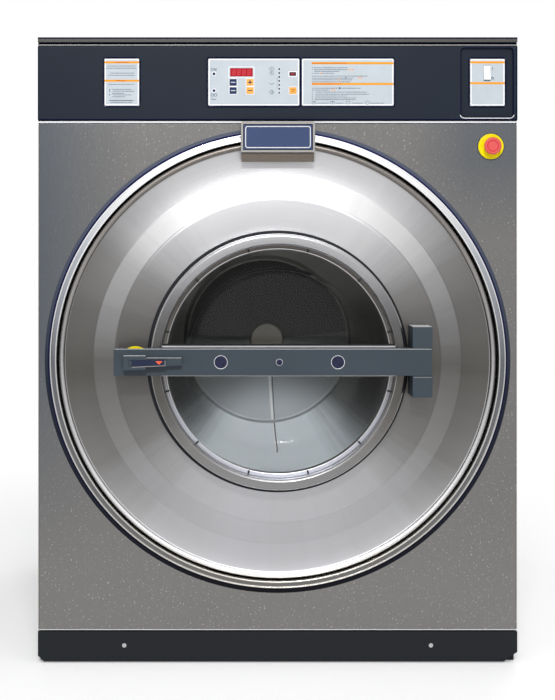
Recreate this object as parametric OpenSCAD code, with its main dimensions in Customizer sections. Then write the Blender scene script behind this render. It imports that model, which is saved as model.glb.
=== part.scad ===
// Front-loading commercial washing machine: cabinet, rigid outer tub, belt-driven drum and a bar-hung door.
// Z is up, the front faces -Y. Depths called p are measured forward from the front panel's outer face.

/* [Cabinet] */
// Width of the cabinet over its fascia and plinth
body_w = 1050; // [1046:1:1180]
// Height of the cabinet from the floor to the top cover
body_h = 1370; // [1350:1:1500]
// Depth from the front panel to the rear panel
body_d = 1100; // [1090:1:1300]
// Thickness of the cabinet sheet
sheet_t = 2; // [1:0.1:3]
// How far the fascia and plinth stand outside the side panels
trim_overhang = 1; // [0.5:0.1:3]
// Depth of the folded edges of the sheet panels
fold_depth = 22; // [12:1:30]
// Height of the plinth's top edge
plinth_top = 69; // [60:1:90]
// Height of the plinth's lower edge above the floor
plinth_gap = 3; // [1:1:10]
// Width of the cut across the plinth's left lower corner
plinth_cut_left = 13; // [4:1:20]
// Width of the cut across the plinth's right lower corner
plinth_cut_right = 30; // [4:1:40]
// Height of the control fascia
fascia_h = 164; // [150:1:180]
// How far the fascia stands forward of the front panel
fascia_step = 4; // [2:0.5:12]
// Height of the top cover's folded rim
cover_rim = 11; // [8:1:25]
// Open line between two cabinet panels
panel_line = 2; // [1:0.5:4]
// Dark line between the fascia and the front panel
fascia_line = 4; // [2:0.5:8]
// Open line under the top cover
cover_line = 3; // [2:0.5:8]
// Outer radius of the folds along the sheet panels' edges
bend_r = 4; // [2.5:0.5:8]
// Place of the plinth screws in from each side
plinth_screw_in = 189; // [150:1:240]
// Height of the plinth screws above the floor
plinth_screw_z = 38; // [30:1:50]
// Radius of the head of a cabinet screw
screw_head_r = 4.7; // [3:0.1:6]
// Place of the belt cover's sides in from the cabinet's sides
belt_cover_in = 194; // [150:1:250]

/* [Frame] */
// Height of the base frame's beams
beam_h = 100; // [80:1:110]
// Width of the base frame's beams
beam_w = 60; // [40:1:90]
// Wall of the base frame's beams
beam_wall = 6; // [4:0.5:10]
// Radius of the floor anchor holes
anchor_r = 9; // [6:0.5:12]
// Leg of the upright corner posts
post_leg = 40; // [25:1:60]
// Thickness of the upright corner posts
post_t = 4; // [2:0.5:6]
// Width of the square rails round the top
rail_w = 30; // [20:1:40]
// Thickness of a tub saddle
saddle_t = 20; // [10:1:40]
// Height of a saddle's feet above the beams
saddle_foot_h = 150; // [120:1:180]
// Height of a saddle's arms above the beams
saddle_arm_h = 260; // [230:1:280]
// Distance of a saddle's arms from the middle
saddle_arm = 300; // [270:1:330]

/* [Drum and tub] */
// Height of the drum's axis
drum_z = 663; // [650:1:670]
// Outer radius of the drum
drum_r = 450; // [420:1:452]
// Thickness of the drum's sheet
drum_wall = 2; // [1.5:0.1:4]
// Depth of the drum's rear disc behind the front panel
drum_back_p = 657; // [600:1:670]
// Depth of the drum's front edge behind the front panel
drum_front_p = 62; // [55:1:90]
// Radius of the drum's mouth
drum_mouth_r = 255; // [246:1:270]
// Height of a lifter above the drum's wall
lifter_h = 78; // [50:1:110]
// Width of a lifter at its foot
lifter_w = 120; // [80:1:160]
// Space between the drum and the outer tub
tub_gap = 27; // [20:1:27]
// Thickness of the outer tub's sheet
tub_wall = 3; // [2:0.1:4]
// Radius of the tub's mouth
mouth_r = 250; // [246:1:256]
// Outer radius of the tub front's forward face
face_r = 359; // [350:1:380]
// Outer radius of the slope behind the forward face
slope_r = 403; // [390:1:440]
// How far the forward face stands in front of the panel
face_p = 6; // [3:0.5:15]
// Depth of the outer face behind the panel
outer_face_p = 14; // [8:1:25]
// Radius of the rolled bead round the tub front
bead_r = 6.5; // [4:0.5:8]
// Width of the dark groove round the bead
groove_w = 4; // [2:0.5:8]
// Width of the bright clamp ring
clamp_w = 15; // [10:0.5:20]
// How far the clamp ring stands in front of the panel
clamp_p = 7; // [3:0.5:15]
// Width of the black seal round the clamp ring
seal_w = 6.5; // [5:0.5:9]
// Radius of the pressed centre of the drum's rear disc
hub_disc_r = 212; // [190:1:230]
// Height of the pressed centre of the drum's rear disc
hub_disc_h = 8; // [4:0.5:12]
// Space between the drum's rear disc and the tub's
tub_back_gap = 63; // [58:1:66]

/* [Drive] */
// Radius of the drum shaft in its bearings
shaft_r = 45; // [35:1:50]
// Radius of the drum shaft's end for the pulley
shaft_end_r = 35; // [25:1:34]
// Outer radius of the main bearings
bearing_r = 75; // [66:1:78]
// Length of a main bearing
bearing_l = 38; // [25:1:50]
// Length of the bearing housing behind the tub
housing_l = 234; // [215:1:250]
// Radius of the bearing housing's flange
housing_flange_r = 200; // [180:1:220]
// Radius of the drum pulley
big_pulley_r = 230; // [180:1:260]
// Radius of the motor pulley
small_pulley_r = 60; // [40:1:80]
// Width of both pulleys
pulley_w = 56; // [40:1:60]
// Thickness of the drive belt
belt_t = 8; // [5:1:12]
// Radius of the motor's case
motor_r = 88; // [70:1:90]
// Length of the motor's case
motor_l = 230; // [180:1:250]
// Height of the motor's axis
motor_z = 176; // [170:1:200]
// Radius of the motor's shaft
motor_shaft_r = 14; // [10:1:19]

/* [Door] */
// Outer radius of the door ring
ring_r = 277; // [270:1:277]
// Radial width of the door ring's flat face
ring_w = 23; // [16:1:26]
// Depth of the door ring from back to front
ring_d = 38; // [30:1:50]
// Thickness of the door ring's sheet
ring_t = 3; // [2:0.5:5]
// Thickness of the door seal
door_seal_t = 12; // [8:0.5:18]
// Thickness of the glass
glass_t = 8; // [5:0.5:10]
// Depth of the glass bowl behind its rim
bowl_d = 76; // [40:1:90]
// Height of the door bar
bar_h = 57.5; // [50:0.5:70]
// Thickness of the door bar from back to front
bar_d = 32; // [26:1:44]
// Wall of the door bar's tube
bar_wall = 3; // [2:0.5:5]
// Height of the door bar's middle above the drum's axis
bar_rise = 2.75; // [0:0.25:6]
// Left end of the door bar from the middle of the door
bar_left = 354; // [346:1:358]
// Right end of the door bar from the middle of the door
bar_right = 326; // [322:1:345]
// Place of the hinge pin from the middle of the door
hinge_x = 306; // [304:1:310]
// Radius of the hinge pin
hinge_pin_r = 8; // [5:0.5:9]
// Left side of the hinge block from the middle of the door
hinge_left = 285; // [282:1:288]
// Height of each ear of the hinge block
hinge_ear_h = 46; // [30:1:60]
// Radius of the plugs in the door bar
plug_r = 13.5; // [8:0.5:18]
// Distance of the plugs from the middle of the door
plug_x = 125; // [90:1:180]

/* [Latch] */
// Place of the latch lever's shaft from the middle of the door
latch_x = 308; // [307:1:312]
// Height of the lever's thick end
lever_h = 30; // [20:1:40]
// Length of the lever's thick end to each side of its shaft
lever_head = 24; // [18:1:30]
// Length of the whole lever from its shaft
lever_l = 100; // [70:1:130]
// How far the lever stands in front of the bar
lever_d = 24; // [16:1:32]
// Radius of the latch shaft
latch_shaft_r = 8; // [5:0.5:9]
// Half length of the bolt behind the bar
bolt_half = 16; // [15:0.5:17]
// Radius of the yellow indicator
indicator_r = 33.5; // [31:0.5:36]

/* [Controls] */
// Width of the keypad panel
keypad_w = 201.5; // [190:0.5:205]
// Height of the keypad and label panels
inlay_h = 105; // [95:1:115]
// Thickness of the keypad panel
keypad_t = 2; // [1.5:0.1:3]
// Thickness of a label inlay
inlay_t = 0.8; // [0.5:0.1:1.5]
// Width of a key
key_w = 15; // [10:0.5:16]
// Height of a key
key_h = 14; // [10:0.5:15]
// Travel of a key
key_travel = 0.6; // [0.3:0.1:1]
// Radius of the yellow stop collar
stop_collar_r = 28; // [22:1:30]
// Radius of the red stop head
stop_head_r = 18; // [15:1:22]
// Travel of the stop button
stop_travel = 5; // [3:0.5:7]
// Width of the rocker switch
rocker_w = 15; // [12:0.5:20]
// Height of the rocker switch
rocker_h = 33; // [26:1:36]
// Tilt of the rocker each way
rocker_tilt = 9; // [5:1:12]
// Width of the nameplate
plate_w = 162; // [140:1:180]
// Height of the nameplate
plate_h = 67; // [55:1:72]
// Place of the stop button in from the cabinet's right side
stop_in = 58; // [50:1:64]
// Place of the stop button below the front panel's top edge
stop_down = 53; // [44:1:62]
// Place of the switch recess's left edge in from the cabinet's right side
recess_in = 123; // [120:1:130]
// Width of the switch recess
recess_w = 113; // [100:1:116]
// Height of the switch recess
recess_h = 150; // [130:1:152]
// Depth of the switch recess
recess_d = 6; // [3:0.5:9]
// Place of the left label in from the cabinet's left side
label_in = 145; // [110:1:160]

/* [Services] */
// Radius of the drain spigot
drain_r = 38; // [25:1:40]
// Length of the drain spigot outside the rear panel
drain_l = 50; // [30:1:80]
// Radius of a water inlet
inlet_r = 13.2; // [10:0.1:16]
// Length of a water inlet outside the rear panel
inlet_l = 22; // [14:1:30]
// Number of water inlets
inlet_count = 3; // [2:1:4]
// Bore of the mains cable gland
gland_bore_r = 9; // [5:0.5:11]
// Place of the cable gland in from the cabinet's side
gland_in = 144; // [100:1:180]
// Place of the first water inlet in from the cabinet's side
inlet_in = 274; // [250:1:290]
// Distance from one water inlet to the next
inlet_pitch = 55; // [50:1:60]
// Place of the drain spigot in from the cabinet's side
drain_in = 294; // [280:1:310]
// Width of the control box
box_w = 330; // [300:1:360]
// Depth of the control box from front to back
box_d = 340; // [300:1:380]

/* [Clearances] */
// Air between pieces that sit beside each other
seat_gap = 0.3; // [0.2:0.05:0.5]
// Radial clearance of a turning fit
run_gap = 0.05; // [0.02:0.01:0.1]

/* [Hidden] */
$fn = 96;

steel = "#a39f99";
bright_steel = "#c9c9cc";
slate = "#4e5862";
anthracite = "#3c4147";
black = "#1c1c1e";
cast = "#565b60";
zinc = "#b8babd";
navy = "#26304f";
orange = "#e8902c";
paper = "#c5cdda";

// Depth levels, measured forward from the front panel's outer face
seal_p = face_p;
ring_back_p = seal_p + door_seal_t + seat_gap;
ring_front_p = ring_back_p + ring_d;
bar_front_p = ring_front_p + bar_d;
bar_mid_p = ring_front_p + bar_d / 2;
lever_front_p = bar_front_p + seat_gap + lever_d;
front_y = -(body_d + lever_front_p + drain_l) / 2 + lever_front_p;

// Cabinet places
side_x = body_w / 2 - trim_overhang;
cover_z = body_h - cover_rim;
fascia_top = cover_z - cover_line - sheet_t * 2;
fascia_z = fascia_top - fascia_h;
panel_top = fascia_z - fascia_line;
panel_bottom = plinth_top + panel_line;
post_top = cover_z - sheet_t;
frame_front_p = -fold_depth;
inner_d = body_d - sheet_t;

// Round front, from the drum outwards
tub_r = drum_r + tub_gap + tub_wall;
clamp_in_r = tub_r + groove_w;
clamp_out_r = clamp_in_r + clamp_w;
seal_in_r = clamp_out_r + seat_gap;
seal_lip = 3.5;
bracket_p = clamp_p + 5;
cutout_r = seal_in_r + seal_w - seal_lip;
clamp_foot_p = -42;
plinth_screw_x = body_w / 2 - plinth_screw_in;
drum_disc_t = 6;
lifter_foot = 12;
lifter_top_r = 14;
lifter_turn = 65;
tub_back_p = drum_back_p + tub_back_gap;
tub_back_t = 6;
shaft_seal_w = 17;

// Bearing housing and drive line
housing_p = tub_back_p + tub_back_t;
housing_flange_t = 20;
housing_wall = 10;
housing_tube_r = bearing_r + housing_wall;
housing_end_p = housing_p + housing_l;
shaft_step_p = housing_end_p + 6;
pulley_p = shaft_step_p + 14;
pulley_end_p = pulley_p + pulley_w;
shaft_nut = 12;
pulley_groove = 5;
motor_x = 0;
motor_air = 12;
motor_end_p = pulley_p - motor_air;
motor_foot = 10;
motor_bore_l = 80;
motor_foot_z = motor_z - motor_r - motor_foot;
shelf_side = 30;
belt_margin = 4;

// Door and hinge places
ring_in_r = ring_r - ring_w;
door_seal_r = ring_r + 6;
glass_r = ring_in_r - 2;
glass_hold_r = glass_r - 6;
ring_opening_r = glass_hold_r;
glass_back_p = ring_back_p + ring_t;
glass_front_p = glass_back_p + glass_t;
retainer_t = 4;
retainer_in_r = ring_in_r - 11;
clip_count = 12;
bar_z = drum_z + bar_rise;
bar_low = bar_z - bar_h / 2;
bar_high = bar_z + bar_h / 2;
leaf_t = 12;
hinge_gap = 0.5;
hinge_bore_r = hinge_pin_r;
hinge_solid_r = hinge_pin_r - run_gap;
indicator_t = 6;
indicator_p = bar_front_p - bar_wall - 4 - indicator_t;
indicator_half = 40;
bolt_t = 8;
bolt_w = 14;
keeper_half = bolt_half + 7;
keeper_wall = 3;
keeper_d = 26;
bolt_back_p = face_p + 8;

// Control places on the fascia
inlay_z = fascia_z + 31;
keypad_x = -153;
label_x = -(body_w / 2 - label_in);
label_w = 78;
guide_x = 52;
guide_w = 203;
recess_x = body_w / 2 - recess_in;
recess_z = fascia_z + 8;
switch_margin = 19;
switch_x = recess_x + switch_margin;
switch_w = 78;
rocker_x = switch_x + 31;
rocker_z = inlay_z + 73.5;
stop_x = body_w / 2 - stop_in;
stop_z = panel_top - stop_down;
stop_barrel_r = 11;
stop_stem_r = 5;
keys = [
    [keypad_x + 48, inlay_z + 45],
    [keypad_x + 48, inlay_z + 27],
    [keypad_x + 85, inlay_z + 45],
    [keypad_x + 85, inlay_z + 27],
    [keypad_x + 179, inlay_z + 27]
];
display_at = [keypad_x + 49, inlay_z + 65];
display_size = [49.5, 18];

// Services on the rear panel
drain_x = -(side_x - drain_in);
drain_z = beam_h + drain_r + 12;
drain_p = tub_back_p - 75;
drain_wall = 4;
drain_body_r = drain_r + 8;
fill_p = tub_back_p - 120;
fill_r = 15;
manifold_room = 65;
box_t = 2;
gland_wall = 4;
inlet_z = fascia_z - 18;
inlet_x = side_x - inlet_in;
gland_x = -(side_x - gland_in);
collar_t = 4;
gland_z = fascia_z + 12;
cover_x = side_x - belt_cover_in;
cover_low = drain_z + drain_body_r + 34;
cover_high = drum_z + big_pulley_r + 67;
cover_edge = 30;

// Points along an arc, from angle a0 to a1
function arc(x, y, r, a0, a1, n = 8) = [
    for (i = [0:n]) let (a = a0 + (a1 - a0) * i / n) [x + r * cos(a), y + r * sin(a)]
];

// The front panel's frame: x to the right, y up from the floor, z forward
module face() {
    translate([0, front_y, 0]) rotate([90, 0, 0]) children();
}

// The same frame with its middle on the drum's axis
module round_face() {
    face() translate([0, drum_z, 0]) children();
}

module ring(r_in, r_out, p_back, p_front) {
    translate([0, 0, p_back]) difference() {
        cylinder(h = p_front - p_back, r = r_out);
        translate([0, 0, -1]) cylinder(h = p_front - p_back + 2, r = r_in);
    }
}

module disc(r, p_back, p_front) {
    translate([0, 0, p_back]) cylinder(h = p_front - p_back, r = r);
}

// A block from one corner to the other in the current frame
module block(low, high) {
    translate(low) cube(high - low);
}

module round_rect(w, h, r) {
    translate([w / 2, h / 2]) {
        square([w, h - 2 * r], center = true);
        square([w - 2 * r, h], center = true);
        for (x = [-1, 1], y = [-1, 1]) translate([x * (w / 2 - r), y * (h / 2 - r)]) circle(r);
    }
}

module round_plate(x, y, p, w, h, t, r) {
    translate([x, y, p]) linear_extrude(t) round_rect(w, h, r);
}

// Outline of a sheet from low to high whose front edges are folded back with radius r
function folded(low, high, back, front, r) = concat(
    [[low, back]],
    arc(low + r, front - r, r, 180, 90, 5),
    arc(high - r, front - r, r, 90, 0, 5),
    [[high, back]]
);

// A block whose four front edges are rounded like folds
module folded_block(low, high, r) {
    intersection() {
        translate([0, high[1], 0]) rotate([90, 0, 0])
            linear_extrude(high[1] - low[1]) polygon(folded(low[0], high[0], low[2], high[2], r));
        translate([low[0], 0, 0]) rotate([90, 0, 90])
            linear_extrude(high[0] - low[0]) polygon(folded(low[1], high[1], low[2], high[2], r));
    }
}

// A sheet pan that opens to the back, with folded edges
module pan(low, high, depth, t) {
    difference() {
        folded_block([low[0], low[1], -depth], [high[0], high[1], 0], bend_r);
        folded_block([low[0] + t, low[1] + t, -depth - 1], [high[0] - t, high[1] - t, -t], bend_r - t);
    }
}

// A square tube from one corner to the other, open at both ends along x (0) or z (2)
module tube(low, high, along, wall) {
    cut = [for (i = [0:2]) i == along ? -1 : wall];
    difference() {
        block(low, high);
        block(low + cut, high - cut);
    }
}

module base_frame() {
    x_out = side_x - sheet_t - seat_gap;
    back_p = -inner_d + seat_gap;
    pad = 90;
    pad_t = 2 * beam_wall;
    cross_drop = 20;
    shelf_t = 10;
    leg_t = 12;
    color(black) face() difference() {
        union() {
            for (side = [-1, 1]) translate([side * (x_out - beam_w / 2), 0, 0])
                tube([-beam_w / 2, 0, back_p], [beam_w / 2, beam_h, frame_front_p], 2, beam_wall);
            for (p = [frame_front_p - beam_w, back_p])
                tube([-x_out + beam_w, 0, p],
                    [x_out - beam_w, beam_h - cross_drop, p + beam_w], 0, beam_wall);
            for (side = [-1, 1], p = [frame_front_p - beam_w - pad, back_p + beam_w])
                block([side > 0 ? x_out - beam_w - pad : -x_out + beam_w, 0, p],
                    [side > 0 ? x_out - beam_w : -x_out + beam_w + pad, pad_t, p + pad]);
            block([-motor_r - shelf_side, motor_foot_z - shelf_t, back_p + beam_w],
                [motor_r + shelf_side, motor_foot_z, -housing_p - shelf_t]);
            for (x = [-motor_r - shelf_side, motor_r + shelf_side - leg_t])
                block([x, 0, back_p + beam_w], [x + leg_t, motor_foot_z - shelf_t, -housing_p - shelf_t]);
        }
        for (side = [-1, 1], p = [frame_front_p - beam_w - pad / 2, back_p + beam_w + pad / 2])
            translate([side * (x_out - beam_w - pad / 2), -1, p]) rotate([-90, 0, 0])
                cylinder(h = pad_t + 2, r = anchor_r);
    }
}

module cabinet_posts() {
    x_out = side_x - sheet_t - seat_gap;
    clamp_air = 2;
    rail_wall = post_t - 1;
    narrow = min(x_out - clamp_out_r - clamp_air, post_leg);
    back_p = -inner_d + seat_gap;
    color(zinc) face() {
        for (side = [-1, 1]) {
            for (leg = [[x_out - post_t, frame_front_p - post_leg, x_out, frame_front_p],
                        [x_out - narrow, frame_front_p - post_t, x_out, frame_front_p],
                        [x_out - post_t, back_p, x_out, back_p + post_leg],
                        [x_out - post_leg, back_p, x_out, back_p + post_t]])
                block([side > 0 ? leg[0] : -leg[2], beam_h, leg[1]],
                    [side > 0 ? leg[2] : -leg[0], post_top, leg[3]]);
            tube([side > 0 ? x_out - rail_w : -x_out, post_top - rail_w, back_p + rail_w],
                [side > 0 ? x_out : -x_out + rail_w, post_top, frame_front_p - rail_w], 2, rail_wall);
        }
        for (p = [frame_front_p - rail_w, back_p])
            tube([-x_out, post_top - rail_w, p], [x_out, post_top, p + rail_w], 0, rail_wall);
    }
}

module plinth() {
    w = body_w / 2;
    stand = 2;
    cut_slope = 0.7;
    outline = [
        [-w, plinth_gap + plinth_cut_left],
        [-w + plinth_cut_left, plinth_gap],
        [w - plinth_cut_right, plinth_gap],
        [w, plinth_gap + plinth_cut_right * cut_slope],
        [w, plinth_top],
        [-w, plinth_top]
    ];
    color(black) face() difference() {
        translate([0, 0, -fold_depth]) linear_extrude(fold_depth + stand) polygon(outline);
        translate([0, 0, -fold_depth - 1]) linear_extrude(fold_depth + 1) polygon([
            for (v = outline)
                [v[0] * (1 - 2 * sheet_t / body_w), v[1] > plinth_top - 1 ? plinth_top - sheet_t : v[1] - 20]
        ]);
        for (x = [-1, 1]) translate([x * plinth_screw_x, plinth_screw_z, -1])
            cylinder(h = 4, r = screw_head_r + seat_gap);
    }
}

module cabinet_screws() {
    shank_r = 3;
    head_t = 3;
    edge = 15;
    step = (cover_high - cover_low - 2 * edge) / 4;
    rear = -body_d - sheet_t - head_t;
    color(zinc) face() {
        for (x = [-1, 1]) translate([x * plinth_screw_x, plinth_screw_z, frame_front_p]) {
            cylinder(h = fold_depth, r = shank_r);
            translate([0, 0, fold_depth - 2]) cylinder(h = head_t, r = screw_head_r);
        }
        for (x = [-1, 1], i = [0:4])
            translate([x * (cover_x - edge + head_t), cover_low + edge + i * step, rear])
                cylinder(h = head_t, r = screw_head_r);
    }
}

module front_panel() {
    color(steel) face() difference() {
        pan([-side_x, panel_bottom], [side_x, panel_top], fold_depth, sheet_t);
        translate([0, drum_z, -sheet_t - 1]) cylinder(h = sheet_t + 2, r = cutout_r);
        translate([stop_x, stop_z, -sheet_t - 1]) cylinder(h = sheet_t + 2, r = stop_barrel_r + seat_gap);
    }
}

module cutout_seal() {
    lip_t = 2;
    color(black) round_face() difference() {
        ring(seal_in_r, seal_in_r + seal_w, -sheet_t - lip_t - seat_gap, lip_t + seat_gap);
        ring(cutout_r - seat_gap, seal_in_r + seal_w + 5, -sheet_t - seat_gap, seat_gap);
    }
}

module side_panels() {
    color(steel) face() for (side = [0, 1]) mirror([side, 0, 0]) {
        block([side_x - sheet_t, panel_bottom, -body_d], [side_x, post_top, -fold_depth]);
        block([side_x - fold_depth, post_top, -body_d + sheet_t], [side_x, cover_z, -fold_depth]);
    }
}

module rear_panel() {
    x = side_x - sheet_t;
    color(zinc) face() difference() {
        block([-x, panel_bottom, -body_d], [x, post_top, -inner_d]);
        block([-cover_x + cover_edge, cover_low + cover_edge, -body_d - 1],
            [cover_x - cover_edge, cover_high - cover_edge, -inner_d + 1]);
        translate([drain_x, drain_z, -body_d - 1]) cylinder(h = sheet_t + 2, r = drain_r + seat_gap);
        for (i = [0:inlet_count - 1])
            translate([inlet_x - i * inlet_pitch, inlet_z, -body_d - 1])
                cylinder(h = sheet_t + 2, r = inlet_r + seat_gap);
        translate([gland_x, gland_z, -body_d - 1])
            cylinder(h = sheet_t + 2, r = gland_bore_r + gland_wall + seat_gap);
    }
}

module belt_cover() {
    louvre_x = 140;
    louvre_w = 160;
    louvre_r = 7;
    louvre_low = 120;
    louvre_pitch = 60;
    louvre_t = 1;
    louvre_mouth = 4;
    louvre_p = -body_d - sheet_t;
    color(zinc) face() difference() {
        union() {
            block([-cover_x, cover_low, -body_d - sheet_t], [cover_x, cover_high, -body_d]);
            for (row = [0:8], x = [-1, 1])
                translate([x * louvre_x, cover_low + louvre_low + row * louvre_pitch, louvre_p])
                    rotate([0, 90, 0]) cylinder(h = louvre_w, r = louvre_r, center = true);
        }
        block([-cover_x - 1, cover_low - 1, -body_d], [cover_x + 1, cover_high + 1, -body_d + 3 * louvre_r]);
        for (row = [0:8], x = [-1, 1])
            translate([x * louvre_x, cover_low + louvre_low + row * louvre_pitch - louvre_mouth, louvre_p])
                rotate([0, 90, 0])
                cylinder(h = louvre_w - 6 * louvre_t, r = louvre_r - louvre_t, center = true);
    }
}

module top_cover() {
    w = body_w / 2;
    rim = concat(
        [[-body_d, cover_z], [-body_d, body_h]],
        arc(fascia_step - bend_r, body_h - bend_r, bend_r, 90, 0, 5),
        [[fascia_step, cover_z]]
    );
    color(steel) face() difference() {
        translate([-w, 0, 0]) rotate([0, 90, 0]) rotate([0, 0, 90])
            linear_extrude(body_w) polygon([for (v = rim) [v[1], v[0]]]);
        block([-w + sheet_t, cover_z - 1, -body_d + sheet_t],
            [w - sheet_t, body_h - sheet_t, fascia_step - sheet_t]);
    }
}

module control_fascia() {
    w = body_w / 2;
    edge = 4;
    wall = 3;
    profile = concat(
        [[-fold_depth, fascia_z], [fascia_step - edge, fascia_z]],
        arc(fascia_step - edge, fascia_z + edge, edge, -90, 0),
        arc(fascia_step - edge, fascia_top - edge, edge, 0, 90),
        [[-fold_depth, fascia_top]]
    );
    color(anthracite) face() difference() {
        union() {
            difference() {
                translate([-w, 0, 0]) rotate([0, 90, 0]) rotate([0, 0, 90])
                    linear_extrude(body_w) polygon([for (v = profile) [v[1], v[0]]]);
                block([-w + wall, fascia_z + wall, -fold_depth - 1],
                    [w - wall, fascia_top - wall, fascia_step - wall]);
            }
            block([recess_x - wall, fascia_z + wall, fascia_step - recess_d - wall],
                [recess_x + recess_w + wall, fascia_top - wall, fascia_step - wall]);
        }
        round_plate(recess_x, recess_z, fascia_step - recess_d, recess_w, recess_h, recess_d + 1, 8);
        rocker_window(30);
    }
}

module keypad_panel() {
    color(paper) face() difference() {
        round_plate(keypad_x, inlay_z, fascia_step, keypad_w, inlay_h, keypad_t, 4);
        for (k = keys) translate([k[0] - seat_gap, k[1] - seat_gap, fascia_step - 1])
            cube([key_w + 2 * seat_gap, key_h + 2 * seat_gap, keypad_t + 2]);
        translate([display_at[0], display_at[1], fascia_step - 1])
            cube([display_size[0], display_size[1], keypad_t + 2]);
    }
}

module display_window() {
    color("#7a0f14") face() translate([display_at[0] + seat_gap, display_at[1] + seat_gap, fascia_step])
        cube([display_size[0] - 2 * seat_gap, display_size[1] - 2 * seat_gap, keypad_t - 0.4]);
}

module key(place, tone) {
    rise = key_travel + 0.2;
    color(tone) face() translate([place[0], place[1], fascia_step + rise]) cube([key_w, key_h, keypad_t]);
}

module key_program() {
    key(keys[0], navy);
}

module key_temperature() {
    key(keys[1], navy);
}

module key_plus() {
    key(keys[2], orange);
}

module key_minus() {
    key(keys[3], orange);
}

module key_start() {
    key(keys[4], orange);
}

module info_inlays() {
    color(paper) face() {
        round_plate(label_x, inlay_z, fascia_step, label_w, inlay_h, inlay_t, 3);
        round_plate(guide_x, inlay_z, fascia_step, guide_w, inlay_h, inlay_t, 4);
    }
}

module rocker_window(depth) {
    translate([rocker_x - seat_gap, rocker_z - rocker_h / 2 - seat_gap, -depth / 2])
        cube([rocker_w + 2 * seat_gap, rocker_h + 2 * seat_gap, depth]);
}

module switch_plate() {
    floor_p = fascia_step - recess_d;
    color(paper) face() difference() {
        round_plate(switch_x, inlay_z, floor_p, switch_w, inlay_h, 2, 3);
        rocker_window(30);
    }
}

module rocker_switch() {
    half = rocker_h / 2;
    pivot_p = fascia_step - recess_d;
    tip = 4.5;
    dip = 3;
    profile = [
        [-half + 2, -6], [half - 2, -6], [half, 1], [half - 1, tip], [0, dip], [-half + 1, tip], [-half, 1]
    ];
    color("#e9e9e6") face() translate([rocker_x, rocker_z, pivot_p]) rotate([-rocker_tilt, 0, 0])
        rotate([90, 0, 90]) linear_extrude(rocker_w) polygon(profile);
}

module stop_collar() {
    color("#f2c21a") face() translate([stop_x, stop_z, 0]) difference() {
        union() {
            disc(stop_collar_r, 0, 3);
            translate([0, 0, 3]) cylinder(h = 3, r1 = stop_collar_r, r2 = stop_collar_r - 3);
            disc(stop_barrel_r, -45, 1);
        }
        disc(stop_stem_r + run_gap, -46, 7);
    }
}

module stop_stem() {
    color(zinc) face() translate([stop_x, stop_z, 0]) disc(stop_stem_r, -38, 6 + stop_travel + 10);
}

module stop_head() {
    base = 6 + stop_travel + 1;
    profile = concat(
        [[0, base], [9, base], [9, base + 4], [stop_head_r - 3, base + 5]],
        arc(stop_head_r - 3, base + 8, 3, -90, 0),
        [[stop_head_r, base + 14]],
        arc(stop_head_r - 4, base + 14, 4, 0, 90),
        [[0, base + 19]]
    );
    color("#d8242b") face() translate([stop_x, stop_z, 0]) difference() {
        rotate_extrude() polygon(profile);
        disc(stop_stem_r + run_gap, base - 1, 6 + stop_travel + 10 + run_gap);
    }
}

module nameplate_bracket() {
    skirt = 19;
    plate_edge = 2;
    x = plate_w / 2 - plate_edge;
    z_top = panel_top - 1;
    z_low = z_top - plate_h - skirt;
    foot_h = 12;
    color(bright_steel) face() {
        block([-x, z_low, bracket_p], [x, z_top, bracket_p + sheet_t]);
        block([-x, z_top - foot_h, 0], [x, z_top, bracket_p]);
        block([-x, z_low, clamp_p + 1], [x, z_low + sheet_t, bracket_p]);
    }
}

module nameplate() {
    plate_t = 8;
    frame_w = 5;
    field_d = 1;
    corner = 5;
    color(navy) face() translate([-plate_w / 2, panel_top - plate_h, bracket_p + sheet_t]) difference() {
        linear_extrude(plate_t) round_rect(plate_w, plate_h, corner);
        translate([frame_w, frame_w, plate_t - field_d])
            linear_extrude(2 * field_d) round_rect(plate_w - 2 * frame_w, plate_h - 2 * frame_w, corner - 1);
    }
}

// Section of the tub front: flat face, slope, outer face and rolled bead
module tub_front() {
    t = tub_wall;
    collar = 34;
    bend = 10;
    front = concat(
        arc(mouth_r + bend, face_p - bend, bend, 180, 90),
        [[face_r, face_p], [slope_r, -outer_face_p]],
        [[tub_r - 2 * bead_r, -outer_face_p]]
    );
    back = concat(
        [[tub_r - 2 * bead_r, -outer_face_p - t], [slope_r - 2, -outer_face_p - t], [face_r - 2, face_p - t]],
        arc(mouth_r + bend, face_p - bend, bend - t, 90, 180),
        [[mouth_r + t, -collar], [mouth_r, -collar]]
    );
    color(steel) round_face() union() {
        rotate_extrude() polygon(concat(front, back));
        ring(tub_r - 2 * bead_r - 1, tub_r, -outer_face_p - t, -outer_face_p);
        translate([0, 0, -outer_face_p + bead_r - 1]) rotate_extrude() translate([tub_r - bead_r, 0])
            circle(bead_r);
    }
}

module tub_clamp_ring() {
    lip = 3.5;
    groove_d = 2;
    wall = 3;
    flange_t = 12;
    color(bright_steel) round_face() difference() {
        union() {
            ring(clamp_in_r, clamp_out_r, clamp_foot_p, clamp_p);
            ring(tub_r + seat_gap, clamp_in_r + 1, clamp_foot_p, clamp_foot_p + flange_t);
        }
        ring(clamp_in_r + lip, clamp_out_r - lip, clamp_p - groove_d, clamp_p + 1);
        ring(clamp_in_r + wall, clamp_out_r - wall, clamp_foot_p - 1, clamp_p - groove_d - wall);
    }
}

// Rubber ring between the tub's mouth and the door
module door_seal() {
    r_in = mouth_r + 3;
    color(black) round_face() rotate_extrude() polygon([
        [r_in, seal_p], [door_seal_r, seal_p], [door_seal_r, seal_p + door_seal_t * 0.5],
        [ring_r + 2, seal_p + door_seal_t], [r_in + 6, seal_p + door_seal_t],
        [r_in, seal_p + door_seal_t * 0.6]
    ]);
}

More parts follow.
